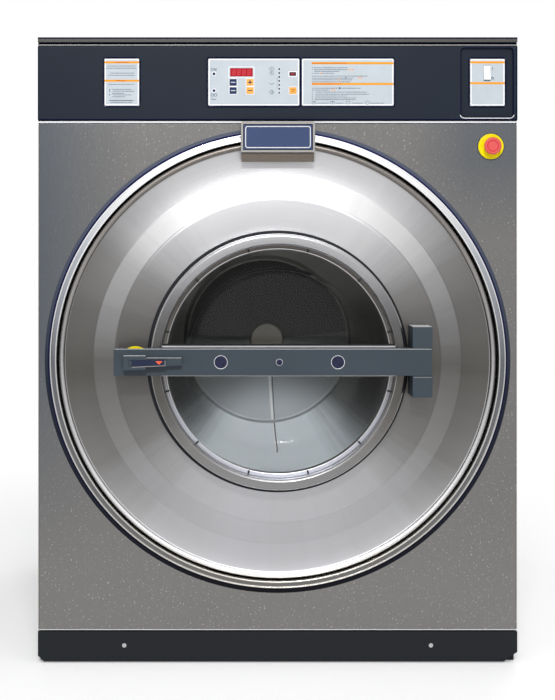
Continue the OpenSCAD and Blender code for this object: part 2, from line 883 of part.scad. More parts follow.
module tub_shell() {
    front = -outer_face_p - tub_wall;
    color(steel) round_face() difference() {
        union() {
            ring(tub_r - tub_wall, tub_r, -tub_back_p - tub_back_t, front);
            ring(shaft_r + shaft_seal_w, tub_r - tub_wall + 1, -tub_back_p - tub_back_t, -tub_back_p);
        }
        translate([drain_x, 0, -drain_p]) rotate([90, 0, 0])
            cylinder(h = tub_r + 5, r = drain_r - drain_wall);
        translate([inlet_x - inlet_pitch, 0, -fill_p]) rotate([-90, 0, 0])
            cylinder(h = tub_r + 5, r = fill_r + 1);
    }
}

// Two plates cut to the tub's underside, standing on the base frame
module tub_saddles() {
    x_beam = side_x - sheet_t - seat_gap;
    inset = 20;
    half = side_x - sheet_t - beam_w - inset;
    front_p = 130;
    rear_p = tub_back_p - 145;
    foot_w = 120;
    foot_t = 12;
    foot_edge = 8;
    arch = 140;
    arch_h = 30;
    color(black) face() for (p = [-front_p, -rear_p]) difference() {
        union() {
            block([-x_beam + foot_edge, beam_h, p - saddle_t],
                [-x_beam + beam_w + foot_w / 2, beam_h + foot_t, p]);
            block([x_beam - beam_w - foot_w / 2, beam_h, p - saddle_t],
                [x_beam - foot_edge, beam_h + foot_t, p]);
            translate([0, 0, p - saddle_t]) linear_extrude(saddle_t) polygon([
                [-half, beam_h + 1], [-half, beam_h + saddle_foot_h], [-saddle_arm, beam_h + saddle_arm_h],
                [saddle_arm, beam_h + saddle_arm_h], [half, beam_h + saddle_foot_h], [half, beam_h + 1],
                [half - foot_w, beam_h + 1], [arch, beam_h + arch_h], [-arch, beam_h + arch_h],
                [-half + foot_w, beam_h + 1]
            ]);
        }
        translate([0, drum_z, p - saddle_t - 1]) cylinder(h = saddle_t + 2, r = tub_r + seat_gap);
    }
}

module bearing_housing() {
    rib_t = 14;
    rib_r = housing_flange_r - 8;
    rib_foot = 4;
    rib_end = 30;
    bore_r = shaft_r + 15;
    seat_l = bearing_l + 2;
    bolt_r = 7;
    bolt_ring_r = housing_flange_r - 25;
    color(cast) round_face() difference() {
        union() {
            disc(housing_flange_r, -housing_p - housing_flange_t, -housing_p);
            disc(housing_tube_r, -housing_end_p, -housing_p);
            for (i = [0:7]) rotate([0, 0, 22.5 + i * 45]) rotate([90, 0, 0]) translate([0, 0, -rib_t / 2])
                linear_extrude(rib_t) polygon([
                    [0, -housing_p - 1], [rib_r, -housing_p - 1],
                    [rib_r, -housing_p - housing_flange_t - rib_foot],
                    [housing_tube_r, -housing_end_p + rib_end], [0, -housing_end_p + rib_end]
                ]);
        }
        disc(bore_r, -housing_end_p - 1, -housing_p + 1);
        disc(bearing_r, -housing_p - seat_l, -housing_p + 1);
        disc(bearing_r, -housing_end_p - 1, -housing_end_p + seat_l);
        for (i = [0:7]) rotate([0, 0, i * 45]) translate([bolt_ring_r, 0, -housing_p - housing_flange_t - 1])
            cylinder(h = housing_flange_t + 2, r = bolt_r);
    }
}

module main_bearings() {
    race_t = 8;
    shield_d = 2;
    color(zinc) round_face() for (p = [-housing_p - bearing_l - 1, -housing_end_p + 1])
        difference() {
            ring(shaft_r + run_gap, bearing_r - run_gap, p, p + bearing_l);
            ring(shaft_r + race_t, bearing_r - race_t, p - 1, p + shield_d);
            ring(shaft_r + race_t, bearing_r - race_t, p + bearing_l - shield_d, p + bearing_l + 1);
        }
}

module shaft_seal() {
    lip = 4;
    gap = 2 * run_gap;
    color(black) round_face()
        ring(shaft_r + gap, shaft_r + shaft_seal_w - gap, -tub_back_p - tub_back_t, -tub_back_p + lip);
}

module drum_shell() {
    color(bright_steel) round_face()
        ring(drum_r - drum_wall, drum_r, -drum_back_p - drum_disc_t, -drum_front_p);
}

module drum_front() {
    t = 3;
    rim_l = 30;
    shoulder = 20;
    neck = 25;
    bend = 6;
    collar = 18;
    r = drum_r - drum_wall - seat_gap;
    lip = drum_front_p - 24;
    color(bright_steel) round_face() rotate_extrude() polygon(concat(
        [[r, -drum_front_p - rim_l], [r, -drum_front_p], [r - shoulder, -drum_front_p],
            [drum_mouth_r + neck, -lip - bend + 2]],
        arc(drum_mouth_r + bend, -lip - bend, bend, 90, 180),
        [[drum_mouth_r, -lip - collar], [drum_mouth_r + t, -lip - collar]],
        [[drum_mouth_r + t + 2, -lip - bend - 2], [drum_mouth_r + neck, -lip - bend + 2 - t]],
        [[r - shoulder, -drum_front_p - t], [r - t, -drum_front_p - t], [r - t, -drum_front_p - rim_l]]
    ));
}

// Rear disc with its pressed centre and hub boss
module drum_back() {
    r = drum_r - drum_wall - seat_gap;
    boss_r = 40;
    boss_h = 22;
    boss_foot = 4;
    boss_crown = 2;
    color(bright_steel) round_face() rotate_extrude() polygon([
        [0, -drum_back_p - drum_disc_t], [r, -drum_back_p - drum_disc_t], [r, -drum_back_p],
        [hub_disc_r + hub_disc_h, -drum_back_p], [hub_disc_r, -drum_back_p + hub_disc_h],
        [boss_r + boss_foot, -drum_back_p + hub_disc_h], [boss_r, -drum_back_p + boss_h],
        [0, -drum_back_p + boss_h + boss_crown]
    ]);
}

// Three hollow ribs, open where they meet the drum
module drum_lifters() {
    foot_r = drum_r - drum_wall - seat_gap;
    gap = 1;
    front_room = 30;
    wall = 3;
    length = drum_back_p - drum_front_p - front_room - 2 * gap;
    color(bright_steel) round_face() intersection() {
        for (a = [-90, 30, 150]) rotate([0, 0, a]) translate([0, 0, -drum_back_p + gap]) difference() {
            linear_extrude(length) polygon(lifter_outline(0));
            translate([0, 0, wall]) linear_extrude(length - 2 * wall) polygon(lifter_outline(wall));
        }
        disc(foot_r, -drum_back_p, -drum_front_p);
    }
}

// Outline of a lifter, drawn in by t
function lifter_outline(t) = concat(
    [[drum_r, -lifter_w / 2 + t], [drum_r - lifter_foot, -lifter_w / 2 + t]],
    [[drum_r - lifter_h * 0.6, -lifter_w / 5 + t]],
    arc(drum_r - lifter_h + lifter_top_r - 3, 0, lifter_top_r - t, 180 + lifter_turn, 180 - lifter_turn),
    [[drum_r - lifter_h * 0.6, lifter_w / 5 - t]],
    [[drum_r - lifter_foot, lifter_w / 2 - t], [drum_r, lifter_w / 2 - t]]
);

// Shaft with the three-armed spider that carries the drum
module drum_shaft() {
    hub_p = -drum_back_p - drum_disc_t;
    hub_r = 110;
    hub_t = 24;
    arm_w = 64;
    arm_r = drum_r - drum_wall - 6;
    arm_root = 28;
    arm_tip = 14;
    root_r = 100;
    pocket_r = 130;
    pocket_end = 62;
    pocket_w = 16;
    web_half = 10;
    color(cast) round_face() union() {
        disc(hub_r, hub_p - hub_t, hub_p);
        disc(shaft_r, -shaft_step_p, hub_p - hub_t + 4);
        disc(shaft_end_r, -pulley_end_p - shaft_nut, -shaft_step_p + 1);
        for (a = [-90, 30, 150]) rotate([0, 0, a]) difference() {
            translate([0, 0, hub_p]) rotate([-90, 0, 0]) translate([0, 0, -arm_w / 2]) linear_extrude(arm_w)
                polygon([[0, 0], [arm_r, 0], [arm_r, arm_tip], [root_r, arm_root], [0, arm_root]]);
            for (y = [web_half, -web_half - pocket_w]) translate([pocket_r, y, hub_p - arm_root - 2])
                cube([arm_r - pocket_end - pocket_r, pocket_w, arm_root - 2]);
        }
    }
}

module drum_pulley() {
    rim = 22;
    web_t = 14;
    web_p = -pulley_p - pulley_w / 2;
    hub_wall = 28;
    hub_r = shaft_end_r + hub_wall;
    hole_r = (big_pulley_r - rim - hub_r) / 2 - rim;
    color(cast) round_face() difference() {
        union() {
            ring(big_pulley_r - rim, big_pulley_r, -pulley_end_p, -pulley_p);
            disc(hub_r, -pulley_end_p + 4, -pulley_p);
            disc(big_pulley_r - rim + 1, web_p - web_t / 2, web_p + web_t / 2);
        }
        disc(shaft_end_r + run_gap, -pulley_end_p - 1, -pulley_p + 1);
        for (i = [0:4]) rotate([0, 0, i * 72 + 18])
            translate([(hub_r + big_pulley_r - rim) / 2, 0, web_p - web_t])
            cylinder(h = 2 * web_t, r = hole_r);
        belt_grooves(big_pulley_r);
    }
}

// Four round grooves in a pulley's rim, spread about its middle
module belt_grooves(r) {
    half = 3.5;
    pitch = 10;
    for (i = [0:3]) translate([0, 0, -pulley_p - pulley_w / 2 + (1.5 - i) * pitch]) rotate_extrude()
        polygon([[r - pulley_groove, 0], [r + 1, half], [r + 1, -half]]);
}

// Two discs and the wedge between their tangent points, grown by extra
module belt_solid(extra, p_back, p_front) {
    big = big_pulley_r + extra;
    small = small_pulley_r + extra;
    reach = drum_z - motor_z;
    lean = asin((big - small) / reach);
    disc(big, p_back, p_front);
    translate([motor_x, -reach, 0]) disc(small, p_back, p_front);
    translate([0, 0, p_back]) linear_extrude(p_front - p_back) polygon([
        [big * cos(lean), -big * sin(lean)], [small * cos(lean), -reach - small * sin(lean)],
        [-small * cos(lean), -reach - small * sin(lean)], [-big * cos(lean), -big * sin(lean)]
    ]);
}

module drive_belt() {
    back = -pulley_end_p + belt_margin;
    front = -pulley_p - belt_margin;
    color(black) round_face() difference() {
        belt_solid(seat_gap + belt_t, back, front);
        belt_solid(seat_gap, back - 1, front + 1);
    }
}

module motor() {
    fin_h = 8;
    fin_half = 2;
    fin_p = 24;
    fin_l = motor_l - 60;
    foot_x = motor_r - 24;
    foot_half = 22;
    foot_p = 20;
    foot_l = motor_l - 70;
    foot_top = motor_z - 40;
    terminal = [60, 44, 80];
    terminal_p = 60;
    color(cast) face() difference() {
        union() {
            translate([motor_x, motor_z, -motor_end_p]) cylinder(h = motor_l, r = motor_r - fin_h);
            for (a = [0:15:345]) if (a < 225 || a > 315) translate([motor_x, motor_z, -motor_end_p + fin_p])
                rotate([0, 0, a]) block([0, -fin_half, 0], [motor_r, fin_half, fin_l]);
            for (x = [-foot_x, foot_x]) translate([motor_x + x, 0, -motor_end_p + foot_p])
                block([-foot_half, motor_foot_z, 0], [foot_half, foot_top, foot_l]);
            translate([motor_x + terminal[0] / 2, motor_z + motor_r - 34, -motor_end_p + terminal_p])
                cube(terminal);
        }
        translate([motor_x, motor_z, -motor_end_p - 1])
            cylinder(h = motor_bore_l + 1, r = motor_shaft_r + run_gap);
    }
}

module motor_pulley() {
    hub_wall = 10;
    rim = 14;
    dish_d = 12;
    color(zinc) face() translate([motor_x, motor_z, 0]) difference() {
        union() {
            disc(small_pulley_r, -pulley_end_p, -pulley_p);
            disc(motor_shaft_r, -pulley_end_p - 4, -motor_end_p + motor_bore_l - 10);
        }
        belt_grooves(small_pulley_r);
        ring(motor_shaft_r + hub_wall, small_pulley_r - rim, -pulley_end_p - 1, -pulley_end_p + dish_d);
    }
}

// Dump valve below the tub, with its spigot through the rear panel
module drain_valve() {
    bore = drain_r - drain_wall;
    rise = drum_z - drain_z - tub_r / 2;
    body_p = 120;
    body_l = 80;
    color(black) face() difference() {
        union() {
            translate([drain_x, drain_z, -drain_p]) rotate([-90, 0, 0]) cylinder(h = rise, r = drain_body_r);
            translate([drain_x, drain_z, -drain_p]) sphere(drain_body_r);
            translate([drain_x, drain_z, -body_d - drain_l])
                cylinder(h = body_d + drain_l - drain_p, r = drain_r);
            translate([drain_x, drain_z, -body_d - collar_t]) cylinder(h = collar_t, r = drain_body_r);
            translate([drain_x, drain_z, -drain_p - body_p]) cylinder(h = body_l, r = drain_body_r);
        }
        translate([0, drum_z, -housing_p]) cylinder(h = housing_p, r = tub_r + seat_gap);
        translate([drain_x, drain_z, -body_d - drain_l - 1])
            cylinder(h = body_d + drain_l + 1 - drain_p, r = bore);
        translate([drain_x, drain_z, -drain_p]) rotate([-90, 0, 0]) cylinder(h = rise + 1, r = bore);
    }
}

module water_valves() {
    body = [40, 44, 52];
    inset = 6;
    collar_w = 5;
    outlet_r = 9;
    outlet_l = manifold_room - body[2] + 7;
    coil_r = 15;
    coil_l = 38;
    coil_p = 30;
    color(black) face() for (i = [0:inlet_count - 1]) translate([inlet_x - i * inlet_pitch, inlet_z, 0]) {
        translate([0, 0, -body_d - inlet_l]) cylinder(h = inlet_l + sheet_t + inset, r = inlet_r);
        translate([0, 0, -body_d - collar_t]) cylinder(h = collar_t, r = inlet_r + collar_w);
        translate([-body[0] / 2, -body[1] / 2, -inner_d + seat_gap]) cube(body);
        translate([0, 0, -inner_d + manifold_room - outlet_l]) cylinder(h = outlet_l, r = outlet_r);
        translate([0, body[1] / 2, -inner_d + coil_p]) rotate([-90, 0, 0]) cylinder(h = coil_l, r = coil_r);
    }
}

// Manifold from the valves forward, and its drop into the tub
module fill_pipe() {
    x = inlet_x - inlet_pitch;
    half = 16;
    end = 18;
    start = -inner_d + manifold_room;
    color(black) face() difference() {
        union() {
            block([inlet_x - (inlet_count - 1) * inlet_pitch - end, inlet_z - half, start],
                [inlet_x + end, inlet_z + half, start + 2 * half]);
            translate([x, inlet_z, start + half]) cylinder(h = -fill_p - start - half, r = fill_r);
            translate([x, inlet_z, -fill_p]) sphere(fill_r);
            translate([x, drum_z, -fill_p]) rotate([-90, 0, 0]) cylinder(h = inlet_z - drum_z, r = fill_r);
        }
        translate([0, drum_z, -housing_p]) cylinder(h = housing_p, r = tub_r + seat_gap);
    }
}

// Inverter housing hung from the left top rail, open below
module control_box() {
    left = -(side_x - sheet_t - seat_gap - rail_w);
    right = left + box_w;
    low = fascia_z - 13;
    high = post_top - 4;
    front = -80;
    back = front - box_d;
    fin_t = 4;
    fin_w = 22;
    fin_low = 15;
    fin_top = 20;
    color(zinc) face() {
        difference() {
            block([left, low, back], [right, high, front]);
            block([left + box_t, low - 1, back + box_t], [right - box_t, high - box_t, front - box_t]);
        }
        for (i = [0:9]) translate([right, 0, back + fin_top + i * (box_d - fin_top) / 10])
            block([0, low + fin_low, 0], [fin_w, high - fin_top, fin_t]);
    }
}

module cable_gland() {
    nut_r = gland_bore_r + 9;
    nut_t = 7;
    head_t = 10;
    cap_l = 28;
    inside = 14;
    color(black) face() translate([gland_x, gland_z, 0]) difference() {
        union() {
            disc(gland_bore_r + gland_wall, -body_d - head_t - 2, -inner_d + inside);
            translate([0, 0, -body_d - head_t]) cylinder(h = head_t, r = nut_r, $fn = 6);
            disc(gland_bore_r + gland_wall + 2, -body_d - cap_l, -body_d - head_t + 1);
            translate([0, 0, -inner_d]) cylinder(h = nut_t, r = nut_r, $fn = 6);
        }
        disc(gland_bore_r, -body_d - cap_l - 2, -inner_d + inside + 6);
    }
}

// Stainless leaf on the tub front with two painted ears that hold the pin
module hinge_block() {
    right = bar_right + 1;
    low = bar_low - hinge_gap - hinge_ear_h;
    high = bar_high + hinge_gap + hinge_ear_h;
    bore_l = bar_h + 2 * hinge_ear_h - 6;
    color(slate) face() difference() {
        union() {
            block([hinge_left, low, face_p], [right, high, face_p + leaf_t]);
            block([hinge_left, bar_high + hinge_gap, face_p], [right, high, bar_front_p]);
            block([hinge_left, low, face_p], [right, bar_low - hinge_gap, bar_front_p]);
        }
        translate([hinge_x, bar_low - hinge_ear_h - 1, bar_mid_p]) rotate([-90, 0, 0])
            cylinder(h = bore_l, r = hinge_bore_r);
    }
}

module hinge_pin() {
    color(zinc) face() translate([hinge_x, bar_low - hinge_ear_h, bar_mid_p]) rotate([-90, 0, 0])
        cylinder(h = bar_h + 2 * hinge_ear_h - 8, r = hinge_solid_r);
}

// Box on the tub front whose slotted face the turned bolt locks behind
module latch_keeper() {
    inner = keeper_half - keeper_wall;
    keeper_face = 5;
    slot_air = 3;
    color(steel) face() translate([-latch_x, bar_z, face_p]) difference() {
        block([-keeper_half, -keeper_half, 0], [keeper_half, keeper_half, keeper_d]);
        block([-inner, -inner, keeper_wall], [inner, inner, keeper_d - keeper_face]);
        block([-latch_shaft_r - slot_air, -bolt_half - slot_air, keeper_wall],
            [latch_shaft_r + slot_air, bolt_half + slot_air, keeper_d + 1]);
    }
}

// Pressed ring of the door, open behind, with the ledge that the glass lies on
module door_ring() {
    t = ring_t;
    edge = 5;
    outer = concat(
        [[ring_opening_r, ring_back_p], [ring_r, ring_back_p]],
        arc(ring_r - edge, ring_front_p - edge, edge, 0, 90),
        arc(ring_in_r + edge, ring_front_p - edge, edge, 90, 180),
        [[ring_in_r, ring_back_p + t], [ring_opening_r, ring_back_p + t]]
    );
    hollow = concat(
        [[ring_in_r + t, ring_back_p - 1], [ring_r - t, ring_back_p - 1]],
        arc(ring_r - edge, ring_front_p - edge, edge - t, 0, 90),
        arc(ring_in_r + edge, ring_front_p - edge, edge - t, 90, 180)
    );
    color(bright_steel) round_face() difference() {
        rotate_extrude() polygon(outer);
        rotate_extrude() polygon(hollow);
    }
}

module door_glass() {
    neck = glass_hold_r - 5;
    taper = 36;
    crown = 10;
    bend = 26;
    lead_in = 3;
    bend_x = neck - taper - bend;
    back = glass_back_p;
    deep = glass_front_p - bowl_d - glass_t;
    outer = concat(
        [[glass_r, glass_front_p], [glass_r, back], [neck, back]],
        arc(bend_x, deep + crown + bend, bend, 0, -80),
        [[0, deep]]
    );
    inner = concat(
        [[0, deep + glass_t]],
        arc(bend_x, deep + crown + bend, bend - glass_t, -80, 0),
        [[neck - glass_t, back + 2], [neck - glass_t + lead_in, glass_front_p]]
    );
    color([0.7, 0.8, 0.82, 0.35]) round_face() rotate_extrude() polygon(concat(outer, inner));
}

// Ring that holds the glass, with small clips round it
module glass_retainer() {
    clip_half = 4;
    clip_t = 3;
    color(bright_steel) round_face() {
        ring(retainer_in_r, ring_in_r - seat_gap, glass_front_p, glass_front_p + retainer_t);
        for (i = [0:clip_count - 1]) rotate([0, 0, (i + 0.5) * 360 / clip_count])
            block([retainer_in_r + 2, -clip_half, glass_front_p + retainer_t - 1],
                [ring_in_r - 3, clip_half, glass_front_p + retainer_t + clip_t]);
    }
}

// Square tube across the door, solid where the hinge pin runs
module door_bar() {
    solid_x = hinge_x - 36;
    slot_half = 23;
    slot_air = 1;
    color(slate) face() difference() {
        block([-bar_left, bar_low, ring_front_p], [bar_right, bar_high, bar_front_p]);
        block([-bar_left + bar_wall, bar_low + bar_wall, ring_front_p + bar_wall],
            [solid_x, bar_high - bar_wall, bar_front_p - bar_wall]);
        translate([hinge_x, bar_low - 1, bar_mid_p]) rotate([-90, 0, 0])
            cylinder(h = bar_h + 2, r = hinge_bore_r);
        translate([-latch_x, bar_z, ring_front_p - 1]) cylinder(h = bar_d + 2, r = latch_shaft_r + run_gap);
        block([-latch_x - slot_half, bar_high - bar_wall - 1, indicator_p - slot_air],
            [-latch_x + slot_half, bar_high + 1, indicator_p + indicator_t + slot_air]);
        for (x = [-plug_x, plug_x]) translate([x, bar_z, bar_front_p - bar_wall - 1])
            cylinder(h = bar_wall + 2, r = plug_r + seat_gap);
    }
}

// Two caps over the crossbar's bolts, and the screw between them
module bar_plugs() {
    head_t = 6;
    step = 4;
    screw_r = 6.3;
    screw_h = 2.5;
    color(navy) face() {
        for (x = [-plug_x, plug_x]) translate([x, bar_z, 0]) {
            disc(plug_r, bar_front_p - head_t, bar_front_p + 1);
            disc(plug_r - step, ring_front_p + bar_wall, bar_front_p - head_t);
        }
        translate([0, bar_z, 0]) disc(screw_r, bar_front_p, bar_front_p + screw_h);
    }
}

// Stainless channel behind the bar, ending inside the door ring
module door_crossbar() {
    over = 4;
    low = bar_low - over;
    high = bar_high + over;
    back = glass_front_p + retainer_t;
    t = 3;
    color(bright_steel) face() intersection() {
        difference() {
            block([-ring_in_r, low, back], [ring_in_r, high, ring_front_p]);
            block([-ring_in_r - 1, low + t, back - 1], [ring_in_r + 1, high - t, ring_front_p - t]);
        }
        translate([0, drum_z, back - 1]) cylinder(h = ring_front_p, r = ring_in_r - seat_gap);
    }
}

module latch_lever() {
    p = bar_front_p + seat_gap;
    half = lever_h / 2;
    step = 5;
    field_l = 60;
    field_x = 10 - lever_head;
    field_d = 2;
    bore_end = 8;
    grip = half - step;
    outline = [
        [-lever_head, -half], [lever_head, -half + 1], [lever_head, -grip + 1], [lever_l, -grip + step],
        [lever_l, grip], [lever_head, grip], [lever_head, half], [-lever_head, half]
    ];
    color(slate) face() translate([-latch_x, bar_z, p]) difference() {
        linear_extrude(lever_d) polygon(outline);
        translate([lever_head, -half - 1, lever_d - step]) rotate([0, 2, 0])
            cube([lever_l, lever_h + 2, lever_d]);
        translate([field_x, -grip + 3, lever_d - field_d]) cube([field_l, 2 * grip - 6, 2 * field_d]);
        translate([0, 0, -1]) cylinder(h = lever_d - bore_end + 1, r = latch_shaft_r + run_gap);
    }
}

module latch_shaft() {
    tip = bar_front_p + seat_gap + lever_d - 9;
    color(zinc) face() translate([-latch_x, bar_z, 0]) union() {
        disc(latch_shaft_r, bolt_back_p, tip);
        block([-bolt_w / 2, -bolt_half, bolt_back_p], [bolt_w / 2, bolt_half, bolt_back_p + bolt_t]);
    }
}

// Yellow sector that shows through the slot in the bar's top
module latch_indicator() {
    hub_wall = 5;
    color("#f2d21a") face() translate([-latch_x, bar_z, indicator_p]) difference() {
        union() {
            rotate([0, 0, 90]) linear_extrude(indicator_t)
                polygon(concat([[0, 0]], arc(0, 0, indicator_r, -indicator_half, indicator_half, 16)));
            cylinder(h = indicator_t, r = latch_shaft_r + hub_wall);
        }
        translate([0, 0, -1]) cylinder(h = indicator_t + 2, r = latch_shaft_r + run_gap);
    }
}

base_frame();
cabinet_posts();
plinth();
cabinet_screws();
front_panel();
cutout_seal();
side_panels();
rear_panel();
belt_cover();
top_cover();
control_fascia();
keypad_panel();
display_window();
key_program();
key_temperature();
key_plus();
key_minus();
key_start();
info_inlays();
switch_plate();
rocker_switch();
stop_collar();
stop_stem();
stop_head();
nameplate_bracket();
nameplate();
tub_front();
tub_clamp_ring();
door_seal();
tub_shell();
tub_saddles();
bearing_housing();
main_bearings();
shaft_seal();
drum_shell();
drum_front();
drum_back();
drum_lifters();
drum_shaft();
drum_pulley();
drive_belt();
motor();
motor_pulley();
drain_valve();
water_valves();
fill_pipe();
control_box();
cable_gland();
hinge_block();
hinge_pin();
latch_keeper();
door_ring();
door_glass();
glass_retainer();
door_bar();
bar_plugs();
door_crossbar();
latch_lever();
latch_shaft();
latch_indicator();
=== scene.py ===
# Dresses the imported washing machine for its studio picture: camera, lamps, materials and finer pieces
import bmesh
import bpy
import math
import random
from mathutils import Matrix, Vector


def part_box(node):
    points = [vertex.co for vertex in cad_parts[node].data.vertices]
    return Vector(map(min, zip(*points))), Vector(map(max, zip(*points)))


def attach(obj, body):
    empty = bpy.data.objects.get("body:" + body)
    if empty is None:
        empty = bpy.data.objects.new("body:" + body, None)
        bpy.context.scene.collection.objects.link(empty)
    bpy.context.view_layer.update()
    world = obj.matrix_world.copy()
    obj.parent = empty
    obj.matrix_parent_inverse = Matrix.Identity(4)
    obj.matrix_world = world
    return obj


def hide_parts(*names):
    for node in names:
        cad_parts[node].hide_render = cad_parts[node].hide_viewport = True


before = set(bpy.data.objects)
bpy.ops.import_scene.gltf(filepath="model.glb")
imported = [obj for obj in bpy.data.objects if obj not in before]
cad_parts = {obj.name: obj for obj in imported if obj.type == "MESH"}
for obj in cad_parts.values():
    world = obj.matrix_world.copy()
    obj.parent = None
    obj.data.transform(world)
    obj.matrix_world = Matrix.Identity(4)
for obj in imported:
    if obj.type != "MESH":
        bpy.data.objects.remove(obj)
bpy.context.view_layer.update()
print("frame loaded:", len(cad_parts), "nodes")

scene = bpy.context.scene
mm = 0.001


def addToScene(name, data):
    made = bpy.data.objects.new(name, data)
    scene.collection.objects.link(made)
    return made


# The photograph's view: straight at the front, shifted so that the machine fills the picture
view = {"lens": 79.8, "shift": (0.0964, -0.1714), "place": (-0.148, -3.9187, 0.948)}
camera = addToScene("camera", bpy.data.cameras.new("camera"))
camera.data.lens = view["lens"]
camera.data.shift_x, camera.data.shift_y = view["shift"]
camera.location = view["place"]
camera.rotation_euler = (math.radians(90), 0, 0)
scene.camera = camera
scene.view_settings.view_transform = "Standard"

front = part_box("front_panel")[0].y


# A node's box seen from the front in millimetres, and how far its face stands before the panel
def extent(node):
    low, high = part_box(node)
    return {"left": low.x / mm, "right": high.x / mm, "foot": low.z / mm, "top": high.z / mm,
            "wide": (high.x - low.x) / mm, "face": (front - low.y) / mm}


def middle(node):
    low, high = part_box(node)
    return (low.x + high.x) / 2, (low.z + high.z) / 2


axisZ = middle("tub_front")[1]
barZ = middle("door_bar")[1]


# Wires and graphs: a small way to write node maths as expressions
class Wire:
    def __init__(self, graph, socket):
        self.graph = graph
        self.socket = socket

    def math(self, operation, other=None, flip=False):
        values = {0: self} if other is None else ({0: other, 1: self} if flip else {0: self, 1: other})
        return self.graph.add("ShaderNodeMath", {"operation": operation}, values)

    def __add__(self, other): return self.math("ADD", other)
    def __radd__(self, other): return self.math("ADD", other)
    def __sub__(self, other): return self.math("SUBTRACT", other)
    def __rsub__(self, other): return self.math("SUBTRACT", other, True)
    def __mul__(self, other): return self.math("MULTIPLY", other)
    def __rmul__(self, other): return self.math("MULTIPLY", other)
    def __truediv__(self, other): return self.math("DIVIDE", other)
    def __rtruediv__(self, other): return self.math("DIVIDE", other, True)
    def __pow__(self, other): return self.math("POWER", other)
    def __mod__(self, other): return self.math("MODULO", other)

    def output(self, key):
        return Wire(self.graph, self.socket.node.outputs[key])


class Graph:
    def __init__(self, tree):
        self.tree = tree

    def add(self, kind, settings=None, values=None):
        node = self.tree.nodes.new(kind)
        for key, value in (settings or {}).items():
            if key == "stops":
                ramp = node.color_ramp
                while len(ramp.elements) < len(value):
                    ramp.elements.new(0.5)
                for element, (place, *colour) in zip(ramp.elements, value):
                    element.position = place
                    element.color = (*colour, 1)
            else:
                setattr(node, key, value)
        for key, value in (values or {}).items():
            if isinstance(value, Wire):
                self.tree.links.new(value.socket, node.inputs[key])
            else:
                node.inputs[key].default_value = value
        shown = [s for s in node.outputs if s.enabled]
        return Wire(self, shown[0] if shown else None)

    def blend(self, factor, first, second, mode="MIX"):
        node = self.add("ShaderNodeMix", {"data_type": "RGBA", "blend_type": mode}, {0: factor, 6: first, 7: second})
        return Wire(self, node.socket.node.outputs[2])

    def place(self):
        return self.add("ShaderNodeTexCoord").output("Object")

    def split(self, vector):
        node = self.add("ShaderNodeSeparateXYZ", {}, {0: vector})
        return node.output("X"), node.output("Y"), node.output("Z")

    def join(self, x, y, z):
        return self.add("ShaderNodeCombineXYZ", {}, {0: x, 1: y, 2: z})

    def noise(self, vector, scale, detail, rough=0.5):
        return self.add("ShaderNodeTexNoise", {}, {
            "Vector": vector, "Scale": scale, "Detail": detail, "Roughness": rough})

    def fade(self, value, start, end):
        return self.add("ShaderNodeMapRange", {}, {"Value": value, "From Min": start, "From Max": end})

    def bump(self, height, strength, distance):
        return self.add("ShaderNodeBump", {}, {"Height": height, "Strength": strength, "Distance": distance})

    def stretch(self, vector, scale):
        return self.add("ShaderNodeMapping", {}, {"Vector": vector, "Scale": scale})


def tone(r, g, b):
    return (r, g, b, 1.0)


def scaled(base, factor):
    return tone(*[min(c * factor, 1) for c in base])


def material(name, build):
    made = bpy.data.materials.new(name)
    made.use_nodes = True
    made.node_tree.nodes.clear()
    graph = Graph(made.node_tree)
    graph.add("ShaderNodeOutputMaterial", {}, {"Surface": build(graph)})
    return made


def principled(graph, values):
    return graph.add("ShaderNodeBsdfPrincipled", {}, values)


# Sheet steel with a fine straight grain, small bright specks, and a painted reflection that makes its upper corners
# darker and cooler
sheetGrain = {"dark": 0.93, "light": 1.08, "line": 0.72, "lineShare": 0.22, "speck": 2.6, "speckSize": 260.0,
              "speckEdge": (0.67, 0.72), "gloss": 0.16, "bump": (0.12, 0.0006)}
paintedCornerReflection = {"leftX": (-0.30, -0.52), "leftZ": (0.2, 0.7), "left": 0.9, "rightX": (0.28, 0.42),
               "rightZ": (0.92, 1.1), "right": 0.7}


def sheetSteel(name, base, grain, rough, specks=0.0, metallic=1.0, cornerReflection=None):
    def build(g):
        look, corner = sheetGrain, paintedCornerReflection
        place = g.place()
        lines = g.noise(g.stretch(place, grain), 1.0, 3.0, 0.6)
        cloud = g.noise(place, 2.2, 2.0)
        shade = g.blend(cloud, scaled(base, look["dark"]), scaled(base, look["light"]))
        shade = g.blend(lines * look["lineShare"], shade, scaled(base, look["line"]))
        if specks:
            dots = g.noise(place, look["speckSize"], 1.0)
            shade = g.blend(g.fade(dots, *look["speckEdge"]) * specks, shade, scaled(base, look["speck"]))
        # painted reflection: the upper left and right corners turn to a darker, bluer tone
        if cornerReflection:
            x, _, z = g.split(place)
            nearLeft = g.fade(x, *corner["leftX"]) * g.fade(z, *corner["leftZ"]) * corner["left"]
            nearRight = g.fade(x, *corner["rightX"]) * g.fade(z, *corner["rightZ"]) * corner["right"]
            shade = g.blend(nearLeft + nearRight, shade, tone(*cornerReflection))
        return principled(g, {
            "Base Color": shade, "Metallic": metallic, "Roughness": lines * look["gloss"] + (rough - 0.08),
            "Normal": g.bump(lines, *look["bump"]),
        })
    return material(name, build)
